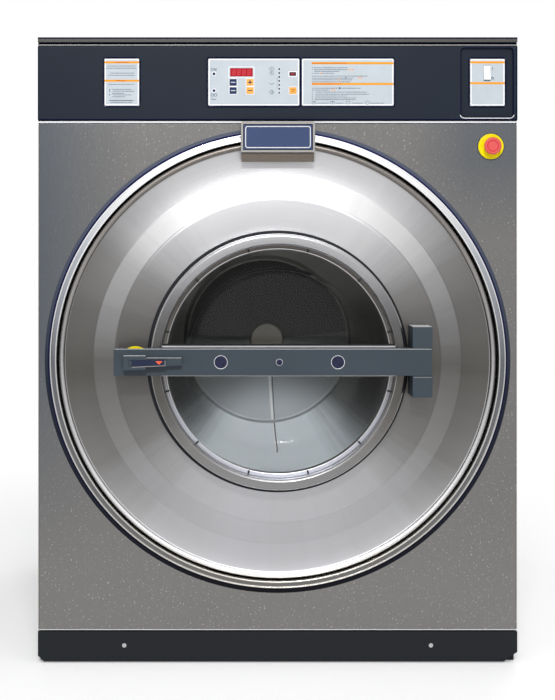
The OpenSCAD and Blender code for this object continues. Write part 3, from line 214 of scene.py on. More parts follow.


# Steel turned about the drum's axis: its tone fans out round the axis as a painted reflection, and a band of radius may
# have its own fan
def turnedSteel(name, look):
    def build(g):
        x, _, z = g.split(g.place())
        rise = z - axisZ
        radius = (x * x + rise * rise) ** 0.5
        cosine = x / radius
        sine = rise / radius
        rings = g.noise(g.join(radius * look["rings"], cosine * 2.0, sine * 2.0), 1.0, 4.0, 0.65)
        # painted streaks: noise round the axis shifts the fan, so the painted reflection breaks into radial streaks
        sweep = g.noise(g.join(cosine * 2.4, sine * 2.4, radius * 1.2), 1.0, 2.0, 0.6)
        fine = g.noise(g.join(cosine * 22.0, sine * 22.0, radius * 3.0), 1.0, 2.0, 0.6)
        turn = sine * 0.5 + 0.5 + (sweep - 0.5) * look["streak"] + (fine - 0.5) * (look["streak"] * 0.4)
        shade = None
        for near, far, fan in look["bands"]:
            tones = g.add("ShaderNodeValToRGB", {"stops": fans[fan]}, {0: turn})
            if shade:
                inside = g.fade(radius, near - mm, near + mm) * g.fade(radius, far + mm, far - mm)
                shade = g.blend(inside, shade, tones)
            else:
                shade = tones
        # the turning rings darken the painted tone
        wearAndHighlight = g.blend(1.0, shade, tone(0.55, 0.54, 0.53), "MULTIPLY")
        return principled(g, {
            "Base Color": g.blend(rings * look["depth"], shade, wearAndHighlight), "Metallic": look.get("metallic", 1.0),
            "Specular IOR Level": look.get("gloss", 0.5), "Roughness": rings * 0.14 + look["rough"],
            "Normal": g.bump(rings, look["bump"], 0.0008),
        })
    return material(name, build)


# Paint, plastic and iron: a slow cloud in the colour, and a fine grain in the gloss and the surface
coats = {
    "paint": {"grain": (900.0, 2.0), "cloud": (7.0, 3.0), "dark": 0.9, "light": 1.12, "spread": 0.12, "depth": 0.0004},
    "plastic": {"grain": (1400.0, 2.0), "cloud": (30.0, 2.0), "dark": 0.93, "light": 1.07, "spread": 0.1,
                "depth": 0.0002},
    "iron": {"grain": (240.0, 4.0, 0.7), "cloud": (9.0, 3.0), "dark": 0.75, "light": 1.3, "spread": 0.2,
             "depth": 0.001, "metallic": 0.3},
}


def coated(kind, name, base, rough, bump, gloss=0.5):
    def build(g):
        look = coats[kind]
        place = g.place()
        fine = g.noise(place, *look["grain"])
        shade = g.blend(g.noise(place, *look["cloud"]), scaled(base, look["dark"]), scaled(base, look["light"]))
        return principled(g, {
            "Base Color": shade, "Metallic": look.get("metallic", 0.0), "Specular IOR Level": gloss,
            "Roughness": fine * look["spread"] + (rough - look["spread"] / 2),
            "Normal": g.bump(fine, bump, look["depth"]),
        })
    return material(name, build)


def plastic(name, base, rough=0.3, bump=0.03, gloss=0.2):
    return coated("plastic", name, base, rough, bump, gloss)


def rubber(name, base):
    def build(g):
        dust = g.noise(g.place(), 60.0, 4.0, 0.7)
        shade = g.blend(dust * 0.5, tone(*base), tone(*[c * 2.4 + 0.004 for c in base]))
        return principled(g, {
            "Base Color": shade, "Roughness": dust * 0.2 + 0.42, "Specular IOR Level": 0.15,
            "Normal": g.bump(dust, 0.08, 0.0005),
        })
    return material(name, build)


def galvanised(name, base):
    def build(g):
        place = g.place()
        cells = g.add("ShaderNodeTexVoronoi", {}, {"Vector": place, "Scale": 75.0})
        spangle = g.split(cells.output("Color"))[0]
        cloud = g.noise(place, 3.0, 2.0)
        shade = g.blend(spangle * 0.5 + cloud * 0.4, scaled(base, 0.8), scaled(base, 1.15))
        return principled(g, {
            "Base Color": shade, "Metallic": 0.85, "Roughness": spangle * 0.18 + 0.34,
            "Normal": g.bump(spangle, 0.05, 0.0004),
        })
    return material(name, build)


# Red display plastic with a faint glow in its emission; on the unlit display this glow is painted
def glowing(name, base, light, strength):
    def build(g):
        shade = g.blend(g.noise(g.place(), 500.0, 1.0), scaled(base, 0.9), tone(*base))
        return principled(g, {
            "Base Color": shade, "Roughness": 0.35, "Specular IOR Level": 0.1,
            "Emission Color": tone(*light), "Emission Strength": strength,
        })
    return material(name, build)


# Glass that hardly bends what is seen through it and lets the lamps through to the drum
def clearGlass(name):
    def build(g):
        tint = tone(0.98, 0.99, 0.99)
        clear = principled(g, {
            "Base Color": tint, "IOR": 1.01, "Roughness": g.noise(g.place(), 14.0, 3.0) * 0.006,
            "Transmission Weight": 1.0, "Coat Weight": 0.2, "Coat Roughness": 0.03,
        })
        through = g.add("ShaderNodeBsdfTransparent", {}, {"Color": tint})
        lamp = g.add("ShaderNodeLightPath").output("Is Shadow Ray")
        return g.add("ShaderNodeMixShader", {}, {0: lamp, 1: clear, 2: through})
    return material(name, build)


# Tones round the axis as (place, red, green, blue), from its foot (0) through its sides (0.5) to its top (1): painted
# reflections of the lamps, bright at top and foot and dark at the sides, with painted highlights on rims, beads and
# edges
fans = {
    "steel": [(0.0, 0.47, 0.47, 0.49), (0.1, 0.40, 0.40, 0.41), (0.24, 0.19, 0.187, 0.183), (0.48, 0.098, 0.093, 0.087),
              (0.63, 0.132, 0.128, 0.123), (0.75, 0.20, 0.197, 0.195), (0.85, 0.39, 0.39, 0.40),
              (0.93, 0.54, 0.54, 0.55), (1.0, 0.56, 0.56, 0.575)],
    "cone": [(0.0, 0.49, 0.49, 0.51), (0.15, 0.36, 0.36, 0.37), (0.25, 0.25, 0.247, 0.243), (0.37, 0.195, 0.192, 0.19),
             (0.5, 0.13, 0.127, 0.122), (0.63, 0.23, 0.23, 0.232), (0.75, 0.35, 0.35, 0.355),
             (0.85, 0.60, 0.60, 0.605), (0.93, 0.64, 0.64, 0.645), (1.0, 0.53, 0.53, 0.53)],
    "bead": [(0.0, 0.95, 0.95, 0.96), (0.3, 0.55, 0.55, 0.56), (0.55, 0.36, 0.35, 0.35), (0.8, 0.25, 0.235, 0.22),
             (1.0, 0.20, 0.18, 0.165)],
    "clamp": [(0.0, 0.155, 0.15, 0.145), (0.5, 0.15, 0.155, 0.17), (0.72, 0.40, 0.42, 0.46), (0.88, 0.85, 0.85, 0.86),
              (1.0, 0.92, 0.92, 0.93)],
    "lip": [(0.0, 0.60, 0.58, 0.53), (0.5, 0.55, 0.55, 0.56), (0.8, 0.85, 0.85, 0.86), (1.0, 0.95, 0.95, 0.96)],
    "ring": [(0.0, 0.27, 0.268, 0.27), (0.15, 0.225, 0.22, 0.215), (0.25, 0.16, 0.152, 0.145),
             (0.35, 0.115, 0.11, 0.103), (0.5, 0.095, 0.090, 0.083), (0.65, 0.13, 0.13, 0.132),
             (0.75, 0.19, 0.19, 0.197), (0.87, 0.37, 0.37, 0.38), (1.0, 0.43, 0.43, 0.445)],
    "retainer": [(0.0, 0.66, 0.67, 0.74), (0.25, 0.48, 0.49, 0.54), (0.5, 0.17, 0.165, 0.155),
                 (0.75, 0.12, 0.113, 0.105), (1.0, 0.13, 0.12, 0.11)],
    # seal and sealLip: the gasket's own slate blue and navy, with painted light at its top and painted shade at its
    # foot
    "seal": [(0.0, 0.006, 0.006, 0.009), (0.45, 0.016, 0.020, 0.034), (0.7, 0.060, 0.072, 0.105),
             (1.0, 0.095, 0.108, 0.150)],
    "sealLip": [(0.0, 0.004, 0.004, 0.010), (0.5, 0.003, 0.004, 0.035), (1.0, 0.003, 0.004, 0.07)],
    # edge: bright ring edges, a painted highlight
    "edge": [(0.0, 0.75, 0.75, 0.77), (0.5, 0.62, 0.60, 0.58), (1.0, 0.95, 0.95, 0.97)],
    # disc and discRim: painted light on the lower half of the drum's back and painted shade on its upper half, as from
    # a lamp shining in through the door; discStep: a brighter band painted over the shadow of the pressed step
    "disc": [(0.0, 0.56, 0.60, 0.64), (0.2, 0.47, 0.50, 0.53), (0.42, 0.26, 0.27, 0.275), (0.56, 0.044, 0.043, 0.040),
             (1.0, 0.032, 0.031, 0.028)],
    "discRim": [(0.0, 0.86, 0.92, 0.97), (0.06, 0.84, 0.91, 0.96), (0.10, 0.60, 0.65, 0.69), (0.19, 0.26, 0.27, 0.275),
                (0.32, 0.18, 0.18, 0.18), (0.46, 0.13, 0.125, 0.118), (0.6, 0.14, 0.136, 0.126),
                (0.8, 0.34, 0.33, 0.305), (1.0, 0.44, 0.425, 0.395)],
    "discStep": [(0.0, 0.74, 0.78, 0.82), (0.2, 0.60, 0.63, 0.66), (0.42, 0.28, 0.29, 0.295),
                 (0.56, 0.14, 0.136, 0.126), (1.0, 0.42, 0.405, 0.375)],
    # boss: the hub's own brownish tone, nearly even round the axis
    "boss": [(0.0, 0.52, 0.48, 0.41), (1.0, 0.50, 0.475, 0.41)],
    # seam: a painted highlight below the axis and painted shade above it
    "seam": [(0.0, 0.95, 0.95, 0.95), (0.45, 0.90, 0.90, 0.90), (0.55, 0.10, 0.10, 0.10), (1.0, 0.03, 0.03, 0.03)],
}

finish = {
    # front panel steel: its last colour is the painted reflection in its upper corners
    "sheet": sheetSteel("sheetSteel", (0.200, 0.194, 0.188), (900.0, 900.0, 26.0), 0.25, 0.6, 1.0,
                        (0.105, 0.118, 0.136)),
    "side": sheetSteel("sideSteel", (0.215, 0.207, 0.198), (900.0, 900.0, 26.0), 0.40, 0.2),
    "cover": sheetSteel("coverSteel", (0.038, 0.039, 0.035), (30.0, 900.0, 900.0), 0.5, 0.1, 0.1),
    # bright steel for thin strips that are painted highlights on folds, edges and rims
    "edge": sheetSteel("paintedEdgeHighlight", (0.68, 0.68, 0.69), (8.0, 60.0, 60.0), 0.4, 0.0, 0.2),
    "plateEdge": sheetSteel("plateEdge", (0.30, 0.285, 0.265), (300.0, 300.0, 300.0), 0.4, 0.0, 0.3),
    "drum": sheetSteel("drumSteel", (0.30, 0.295, 0.285), (60.0, 700.0, 60.0), 0.36, 0.0, 0.8),
    "bright": sheetSteel("brightSteel", (0.55, 0.54, 0.52), (40.0, 900.0, 900.0), 0.24),
    # nameplate bracket steel: its dark warm tone is painted shade and a painted warm reflection
    "bracket": sheetSteel("bracketSteel", (0.130, 0.112, 0.094), (40.0, 900.0, 900.0), 0.3),
    "hardware": sheetSteel("hardwareSteel", (0.5, 0.5, 0.5), (300.0, 300.0, 300.0), 0.3),
    # turned steels: the fans in their colour are painted reflections and painted highlights
    "tub": turnedSteel("tubSteel", {
        "rings": 700.0, "streak": 0.10, "rough": 0.28, "bump": 0.2, "depth": 0.22,
        "bands": [(0, 1, "steel"), (0.358, 0.404, "cone"), (0.4665, 0.5, "bead")]}),
    "ring": turnedSteel("ringSteel", {
        "rings": 900.0, "streak": 0.08, "rough": 0.22, "bump": 0.12, "depth": 0.2,
        "bands": [(0, 1, "ring"), (0.2750, 0.29, "edge"), (0.2535, 0.2560, "edge"), (0.2444, 0.2525, "retainer"),
                  (0.23, 0.2444, "edge")]}),
    "clamp": turnedSteel("clampSteel", {
        "rings": 900.0, "streak": 0.05, "rough": 0.2, "bump": 0.1, "depth": 0.15,
        "bands": [(0, 1, "clamp"), (0.4, 0.4875, "lip"), (0.4955, 0.6, "lip")]}),
    # the drum's back: painted light below and painted shade above, which turn with the drum
    "disc": turnedSteel("discSteel", {
        "rings": 420.0, "streak": 0.16, "rough": 0.42, "bump": 0.15, "depth": 0.25, "metallic": 0.12,
        "bands": [(0, 1, "disc"), (0.212, 1, "discRim"), (0.2085, 0.2165, "discStep"), (0.0, 0.043, "boss")]}),
    "seam": turnedSteel("seamSteel", {
        "rings": 300.0, "streak": 0.04, "rough": 0.35, "bump": 0.1, "depth": 0.1, "metallic": 0.1,
        "bands": [(0, 1, "seam")]}),
    # gasket rubber: its fan puts painted light at the top and painted shade at the foot
    "seal": turnedSteel("sealRubber", {
        "rings": 120.0, "streak": 0.05, "rough": 0.5, "bump": 0.05, "depth": 0.3, "metallic": 0.0, "gloss": 0.08,
        "bands": [(0, 1, "seal"), (0.4, 0.5028, "sealLip")]}),
    "zinc": galvanised("galvanisedSteel", (0.42, 0.43, 0.44)),
    "cast": coated("iron", "castIron", (0.09, 0.10, 0.11), 0.6, 0.3),
    "fascia": coated("paint", "anthracitePaint", (0.0132, 0.0185, 0.0285), 0.38, 0.10, 0.10),
    "slate": coated("paint", "slatePaint", (0.042, 0.056, 0.070), 0.42, 0.08, 0.2),
    "black": coated("paint", "blackPaint", (0.008, 0.010, 0.013), 0.38, 0.06, 0.2),
    "rubber": rubber("blackRubber", (0.010, 0.011, 0.014)),
    "blackPlastic": plastic("blackPlastic", (0.02, 0.02, 0.022), 0.45, 0.08),
    "film": plastic("panelFilm", (0.50, 0.55, 0.59), 0.35),
    "whiteFilm": plastic("whiteFilm", (0.82, 0.83, 0.85), 0.35),
    "navy": plastic("navyPlastic", (0.040, 0.064, 0.145), 0.32, 0.06),
    "leverNavy": plastic("leverNavy", (0.020, 0.026, 0.055), 0.4, 0.06, 0.1),
    "lineInk": plastic("lineInk", (0.001, 0.003, 0.022), 0.6, 0.03, 0.03),
    "plug": plastic("plugPlastic", (0.018, 0.020, 0.055), 0.32, 0.06),
    "navyInk": plastic("navyInk", (0.009, 0.022, 0.085), 0.4),
    "orangeInk": plastic("orangeInk", (0.90, 0.34, 0.02), 0.4, 0.03, 0.08),
    "rustInk": plastic("rustInk", (0.36, 0.085, 0.02), 0.4, 0.03, 0.08),
    "greyInk": plastic("greyInk", (0.045, 0.068, 0.13), 0.45, 0.03, 0.08),
    "orange": plastic("orangePlastic", (0.95, 0.42, 0.07), 0.35),
    "yellow": plastic("yellowPlastic", (0.88, 0.72, 0.006), 0.3, 0.03, 0.08),
    "red": plastic("redPlastic", (0.70, 0.105, 0.10), 0.28),
    "redRing": plastic("redRing", (0.62, 0.035, 0.05), 0.3),
    "white": plastic("whitePlastic", (0.85, 0.85, 0.84), 0.25),
    "signal": plastic("signalRed", (0.90, 0.12, 0.05), 0.35),
    "lamp": plastic("lampWindow", (0.07, 0.004, 0.012), 0.2),
    # the display's window and digits: a faint painted glow, as the display is off
    "window": glowing("displayWindow", (0.42, 0.006, 0.018), (0.8, 0.02, 0.04), 0.04),
    "digit": glowing("displayDigit", (0.50, 0.07, 0.08), (1.0, 0.25, 0.22), 0.10),
    "glass": clearGlass("doorGlass"),
}
print("materials made:", len(finish))

# The record's slot that each finish usually belongs to
skinsOfSlot = {
    "stainless": "sheet cover tub", "bright_stainless": "bracket bright clamp ring seam edge plateEdge",
    "black_paint": "black lineInk", "fascia_paint": "fascia", "slate_paint": "slate", "glass": "glass",
    "black_rubber": "rubber seal cast", "black_plastic": "blackPlastic", "panel_film": "film whiteFilm greyInk",
    "navy_plastic": "navy leverNavy plug navyInk", "orange_plastic": "orange orangeInk rustInk",
    "yellow_plastic": "yellow", "red_plastic": "red redRing signal", "white_plastic": "white",
    "red_window": "lamp digit",
}
slotOf = {skin: slot for slot, skins in skinsOfSlot.items() for skin in skins.split()}


# A finished piece: a plain mesh with its place in the mesh
def settle(name, mesh, skin, body="machine", replaced=None, slot=None):
    piece = addToScene(name, mesh)
    mesh.materials.clear()
    mesh.materials.append(finish[skin])
    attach(piece, body)
    slot or slotOf[skin]
    if replaced:
        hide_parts(replaced)
    return piece


def shadeByAngle(mesh, limit=35):
    work = bmesh.new()
    work.from_mesh(mesh)
    for face in work.faces:
        face.smooth = True
    for edge in work.edges:
        edge.smooth = len(edge.link_faces) == 2 and edge.calc_face_angle(0) < math.radians(limit)
    work.to_mesh(mesh)
    work.free()


# A geometry node tree with named inputs, run on a mesh and turned into a plain mesh
def geometryTree(name, sockets, build):
    tree = bpy.data.node_groups.new(name, "GeometryNodeTree")
    sockets = {"Geometry": "Geometry", **sockets, "Material": "Material"}
    for label, kind in sockets.items():
        tree.interface.new_socket(label, in_out="INPUT", socket_type="NodeSocket" + kind)
    tree.interface.new_socket("Geometry", in_out="OUTPUT", socket_type="NodeSocketGeometry")
    graph = Graph(tree)
    given = graph.add("NodeGroupInput")
    ports = {label: given.output(label) for label in sockets}
    shape = graph.add("GeometryNodeRealizeInstances", {}, {0: build(graph, ports)})
    shape = graph.add("GeometryNodeSetMaterial", {}, {"Geometry": shape, "Material": ports["Material"]})
    graph.add("NodeGroupOutput", {}, {0: shape})
    return tree


def runTree(tree, mesh, values):
    holder = addToScene("treeHolder", mesh)
    modifier = holder.modifiers.new("tree", "NODES")
    modifier.node_group = tree
    names = {s.name: s.identifier for s in tree.interface.items_tree if s.in_out == "INPUT"}
    for label, value in values.items():
        modifier[names[label]] = value
    bpy.context.view_layer.update()
    graph = bpy.context.evaluated_depsgraph_get()
    made = bpy.data.meshes.new_from_object(holder.evaluated_get(graph), preserve_all_data_layers=True, depsgraph=graph)
    bpy.data.objects.remove(holder)
    return made


def pointMesh(points, joined=False):
    mesh = bpy.data.meshes.new("points")
    edges = [(i, i + 1) for i in range(len(points) - 1)] if joined else []
    mesh.from_pydata([tuple(p) + (0,) * (3 - len(p)) for p in points], edges, [])
    return mesh


# Turns a profile of (radius, depth forward of the panel) about an axis along Y
def buildTurning(g, ports):
    count = g.add("GeometryNodeAttributeDomainSize", {}, {0: ports["Geometry"]}).output("Point Count")
    grid = g.add("GeometryNodeMeshGrid", {}, {
        "Size X": 1.0, "Size Y": 1.0, "Vertices X": ports["Steps"] + 1, "Vertices Y": count,
    })
    index = g.add("GeometryNodeInputIndex") + 0.001
    turn = (index / count).math("FLOOR") / ports["Steps"] * math.tau
    step = (index % count).math("FLOOR")
    spot = g.add("GeometryNodeSampleIndex", {"data_type": "FLOAT_VECTOR", "domain": "POINT"}, {
        "Geometry": ports["Geometry"], "Value": g.add("GeometryNodeInputPosition"), "Index": step,
    })
    radius, depth, _ = g.split(spot)
    cx, cy, cz = g.split(ports["Centre"])
    where = g.join(cx + radius * turn.math("COSINE"), cy - depth, cz + radius * turn.math("SINE"))
    moved = g.add("GeometryNodeSetPosition", {}, {"Geometry": grid, "Position": where})
    return g.add("GeometryNodeMergeByDistance", {}, {"Geometry": moved, "Distance": 0.000004})


turning = geometryTree("turning", {"Steps": "Int", "Centre": "Vector"}, buildTurning)


def arc(x, y, radius, start, end, steps):
    angles = [math.radians(start + (end - start) * i / steps) for i in range(steps + 1)]
    return [(x + radius * math.cos(a), y + radius * math.sin(a)) for a in angles]


def turned(name, profile, skin, body="machine", replaced=None, centre=(0.0, axisZ), steps=160, sharp=35, slot=None):
    mesh = runTree(turning, pointMesh([(r * mm, p * mm) for r, p in profile], True), {
        "Steps": steps, "Centre": (centre[0], front, centre[1]), "Material": finish[skin],
    })
    work = bmesh.new()
    work.from_mesh(mesh)
    bmesh.ops.remove_doubles(work, verts=work.verts, dist=0.000002)
    bmesh.ops.dissolve_degenerate(work, dist=0.000001, edges=work.edges)
    bmesh.ops.recalc_face_normals(work, faces=work.faces)
    work.to_mesh(mesh)
    work.free()
    shadeByAngle(mesh, sharp)
    return settle(name, mesh, skin, body, replaced, slot)


# Puts a copy of a stamp at each point, turned to face away from a centre
def buildScatter(g, ports):
    stamp = g.add("GeometryNodeObjectInfo", {"transform_space": "ORIGINAL"}, {"Object": ports["Stamp"]})
    points = g.add("GeometryNodeMeshToPoints", {"mode": "VERTICES"}, {"Mesh": ports["Geometry"]})
    outward = g.add("ShaderNodeVectorMath", {"operation": "SUBTRACT"}, {
        0: g.add("GeometryNodeInputPosition"), 1: ports["Centre"]})
    x, _, z = g.split(outward)
    spin = g.join(0.0, math.pi / 2 - z.math("ARCTAN2", x), 0.0)
    return g.add("GeometryNodeInstanceOnPoints", {}, {
        "Points": points, "Instance": stamp.output("Geometry"), "Rotation": spin})


scatterTree = geometryTree("scatter", {"Stamp": "Object", "Centre": "Vector"}, buildScatter)


# Holes of a perforated wall: rows of small dark discs just inside a cylinder
def buildHoles(g, ports):
    grid = g.add("GeometryNodeMeshGrid", {}, {
        "Size X": 1.0, "Size Y": 1.0, "Vertices X": ports["Around"], "Vertices Y": ports["Rows"]})
    points = g.add("GeometryNodeMeshToPoints", {"mode": "VERTICES"}, {"Mesh": grid})
    index = g.add("GeometryNodeInputIndex") + 0.001
    column = (index / ports["Rows"]).math("FLOOR")
    row = (index % ports["Rows"]).math("FLOOR")
    turn = (column + (row % 2.0) * 0.5) / ports["Around"] * math.tau
    cx, cy, cz = g.split(ports["Centre"])
    where = g.join(cx + ports["Radius"] * turn.math("COSINE"), cy + row * ports["Pitch"],
                   cz + ports["Radius"] * turn.math("SINE"))
    placed = g.add("GeometryNodeSetPosition", {}, {"Geometry": points, "Position": where})
    hole = g.add("GeometryNodeMeshCircle", {"fill_type": "NGON"}, {"Vertices": 8, "Radius": ports["Hole"]})
    aim = g.join(turn.math("COSINE") * -1.0, 0.0, turn.math("SINE") * -1.0)
    facing = g.add("FunctionNodeAlignRotationToVector", {"axis": "Z"}, {"Vector": aim})
    return g.add("GeometryNodeInstanceOnPoints", {}, {"Points": placed, "Instance": hole, "Rotation": facing})


holesTree = geometryTree("holes", {"Around": "Int", "Rows": "Int", "Radius": "Float", "Pitch": "Float",
                                   "Hole": "Float", "Centre": "Vector"}, buildHoles)


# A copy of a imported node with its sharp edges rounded
def softened(node, skin, body, width):
    work = bmesh.new()
    work.from_mesh(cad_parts[node].data)
    bmesh.ops.remove_doubles(work, verts=work.verts, dist=0.00001)
    bmesh.ops.dissolve_limit(work, angle_limit=math.radians(0.6), verts=work.verts, edges=work.edges)
    mesh = bpy.data.meshes.new(node)
    work.to_mesh(mesh)
    work.free()
    mesh.polygons.foreach_set("use_smooth", [True] * len(mesh.polygons))
    piece = settle(node + "_soft", mesh, skin, body, node)
    bevel = piece.modifiers.new("edges", "BEVEL")
    bevel.limit_method = "ANGLE"
    bevel.angle_limit = math.radians(30)
    bevel.width = width * mm
    bevel.segments = 3
    piece.modifiers.new("flats", "WEIGHTED_NORMAL")


# Flat plates on the front: each is an outline in x and z with its lowest and highest depth
def plates(name, shapes, skin, body="machine", slot=None):
    work = bmesh.new()
    for outline, back, face in shapes:
        rings = [[work.verts.new((x * mm, front - p * mm, z * mm)) for x, z in outline] for p in (back, face)]
        count = len(outline)
        for i in range(count):
            j = (i + 1) % count
            work.faces.new((rings[0][i], rings[0][j], rings[1][j], rings[1][i]))
        work.faces.new(rings[1])
        work.faces.new(list(reversed(rings[0])))
    bmesh.ops.recalc_face_normals(work, faces=work.faces)
    mesh = bpy.data.meshes.new(name)
    work.to_mesh(mesh)
    work.free()
    settle(name, mesh, skin, body, None, slot)


# Outlines that lie a hair into a surface and stand a little proud of it
def raised(outlines, level, lift, sunk=0.04):
    return [(outline, level - sunk, level + lift) for outline in outlines]


def rounded(width, height, radius, steps=5):
    w, h = width / 2 - radius, height / 2 - radius
    corners = [(w, h, 0), (-w, h, 90), (-w, -h, 180), (w, -h, 270)]
    return [p for x, y, a in corners for p in arc(x, y, radius, a, a + 90, steps)]


def bar(x, z, width, height):
    return [(x, z), (x + width, z), (x + width, z + height), (x, z + height)]


def shifted(outline, x, z):
    return [(px + x, pz + z) for px, pz in outline]


def rim(outer, inner):
    count = len(outer)
    return [[outer[i], outer[(i + 1) % count], inner[(i + 1) % count], inner[i]] for i in range(count)]


def circle(x, z, r, sides=14):
    return arc(x, z, r, 0, 360 - 360 / sides, sides - 1)


def hoop(x, z, r, width, sides=16):
    return rim(circle(x, z, r, sides), circle(x, z, r - width, sides))


def bow(x, z, r, width, start, end):
    return rim(arc(x, z, r, start, end, 10), arc(x, z, r - width, start, end, 10))[:-1]


def frameBand(x, z, w, h, inset, width, radius):
    outer = shifted(rounded(w - 2 * inset, h - 2 * inset, max(radius - inset, 0.3)), x + w / 2, z + h / 2)
    inner = shifted(rounded(w - 2 * (inset + width), h - 2 * (inset + width), max(radius - inset - width, 0.2)),
                    x + w / 2, z + h / 2)
    return rim(outer, inner)


# Soft studio lamps
lamps = {
    "frontLamp": {"place": (-0.15, -4.7, 3.15), "aim": (0, 0, 0.7), "size": (1.0, 0.45), "power": 125},
    "topLamp": {"place": (0.2, -1.9, 3.3), "aim": (0, -0.3, 0.6), "size": (3.0, 1.4), "power": 18},
    "leftLamp": {"place": (-3.0, -1.8, 1.6), "aim": (0, 0, 0.7), "size": (0.8, 2.2), "power": 8},
    "backLamp": {"place": (1.5, 3.6, 2.6), "aim": (0, 0, 0.7), "size": (2.4, 2.0), "power": 45},
}
for name, lamp in lamps.items():
    light = bpy.data.lights.new(name, "AREA")
    light.shape = "RECTANGLE"
    light.size, light.size_y = lamp["size"]
    light.energy = lamp["power"]
    holder = addToScene(name, light)
    holder.location = lamp["place"]
    aim = Vector(lamp["aim"]) - Vector(lamp["place"])
    holder.rotation_euler = aim.to_track_quat("-Z", "Y").to_euler()

studio = {"light": (0.97, 0.98, 1.0), "strength": 0.26, "floorSize": 30, "fadeFrom": 0.7, "fadeTo": 2.6,
          "floorDark": 0.93, "floorLight": 0.97, "floorGlow": 0.3}


# Rays that see the white backdrop: the camera's own, and those off metal and through glass
def backdropRays(g):
    rays = g.add("ShaderNodeLightPath")
    direct = rays.output("Is Camera Ray").math("MAXIMUM", rays.output("Is Glossy Ray"))
    return direct.math("MAXIMUM", rays.output("Is Transmission Ray"))


world = bpy.data.worlds.new("studio")
world.use_nodes = True
world.node_tree.nodes.clear()
sky = Graph(world.node_tree)
softLight = sky.add("ShaderNodeBackground", {}, {"Color": tone(*studio["light"]), "Strength": studio["strength"]})
whiteLight = sky.add("ShaderNodeBackground", {}, {"Color": tone(1, 1, 1), "Strength": 1.0})
seen = sky.add("ShaderNodeMixShader", {}, {0: backdropRays(sky), 1: softLight, 2: whiteLight})
sky.add("ShaderNodeOutputWorld", {}, {"Surface": seen})
scene.world = world


def floorShader(g):
    x, y, _ = g.split(g.place())
    away = (x * x + y * y) ** 0.5
    fade = g.add("ShaderNodeMapRange", {"interpolation_type": "SMOOTHSTEP"}, {
        "Value": away, "From Min": studio["fadeFrom"], "From Max": studio["fadeTo"]})
    white = tone(1, 1, 1)
    tint = g.blend(g.noise(g.place(), 18.0, 3.0), scaled(white[:3], studio["floorDark"]),
                   scaled(white[:3], studio["floorLight"]))
    plain = principled(g, {
        "Base Color": tint, "Roughness": 0.7, "Emission Color": white, "Emission Strength": studio["floorGlow"]})
    glow = g.add("ShaderNodeEmission", {}, {"Color": white, "Strength": 1.0})
    return g.add("ShaderNodeMixShader", {}, {0: fade * backdropRays(g), 1: plain, 2: glow})


floorMesh = bpy.data.meshes.new("floor")
work = bmesh.new()
bmesh.ops.create_grid(work, x_segments=4, y_segments=4, size=studio["floorSize"])
work.to_mesh(floorMesh)
work.free()
floorMesh.materials.append(material("studioFloor", floorShader))
addToScene("studioFloor", floorMesh)
print("camera, lamps and floor set")

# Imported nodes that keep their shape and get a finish
dressed = {
    "sheet": "tub_shell latch_keeper", "side": "side_panels", "zinc": "cabinet_posts rear_panel belt_cover control_box",
    "hardware": "cabinet_screws main_bearings hinge_pin latch_shaft stop_stem motor_pulley",
    "cast": "bearing_housing drum_shaft drum_pulley motor", "black": "base_frame tub_saddles",
    "rubber": "shaft_seal drive_belt", "blackPlastic": "drain_valve water_valves fill_pipe cable_gland",
    "drum": "drum_shell drum_front drum_lifters", "disc": "drum_back", "yellow": "latch_indicator",
    "window": "display_window", "film": "info_inlays",
}
for skin, nodes in dressed.items():
    for node in nodes.split():
        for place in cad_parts[node].material_slots:
            place.material = finish[skin]
print("packed nodes finished")

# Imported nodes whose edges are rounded: finish, body and width of the rounding
roundedNodes = {
    "front_panel": ("sheet", "machine", 0.4), "top_cover": ("cover", "machine", 0.7),
    "plinth": ("black", "machine", 0.7), "control_fascia": ("fascia", "machine", 1.4),
    "nameplate_bracket": ("bracket", "machine", 0.6), "door_crossbar": ("bright", "door", 0.8),
    "door_bar": ("slate", "door", 1.0), "hinge_block": ("slate", "machine", 1.2),
    "latch_lever": ("slate", "latch", 1.2), "keypad_panel": ("film", "machine", 0.4),
    "switch_plate": ("film", "machine", 0.4), "rocker_switch": ("white", "rocker", 0.8),
    "nameplate": ("navy", "machine", 0.4),
}
for node, look in roundedNodes.items():
    softened(node, *look)
print("panels softened")

# Round front, from the tub's mouth outwards: radius and depth forward of the panel
tubFace = {"mouth": 250, "face": 359, "slope": 403, "rim": 480, "bead": 6.5, "forward": 6, "back": 14, "sheet": 3}
t = tubFace
beadX = t["rim"] - t["bead"]
beadP = t["bead"] - 1 - t["back"]
turned("tubFrontFace", [(t["mouth"], -34)]
       + arc(t["mouth"] + 10, t["forward"] - 10, 10, 180, 90, 6)
       + [(t["face"] - 9, t["forward"])]
       + arc(t["face"] - 8, t["forward"] - 14, 14, 86, 66, 4)
       + arc(t["slope"] + 5, -t["back"] + 11, 11, 246, 268, 4)
       + [(t["rim"] - 2 * t["bead"], -t["back"])]
       + arc(beadX, beadP, t["bead"], 226, -60, 18)
       + [(t["rim"], -t["back"]), (t["rim"], -t["back"] - t["sheet"]), (t["slope"] - 2, -t["back"] - t["sheet"]),
          (t["face"] - 4, t["forward"] - t["sheet"])]
       + arc(t["mouth"] + 10, t["forward"] - 10, 7, 90, 180, 5)
       + [(t["mouth"] + 3, -34), (t["mouth"], -34)],
       "tub", replaced="tub_front", steps=240, sharp=28)

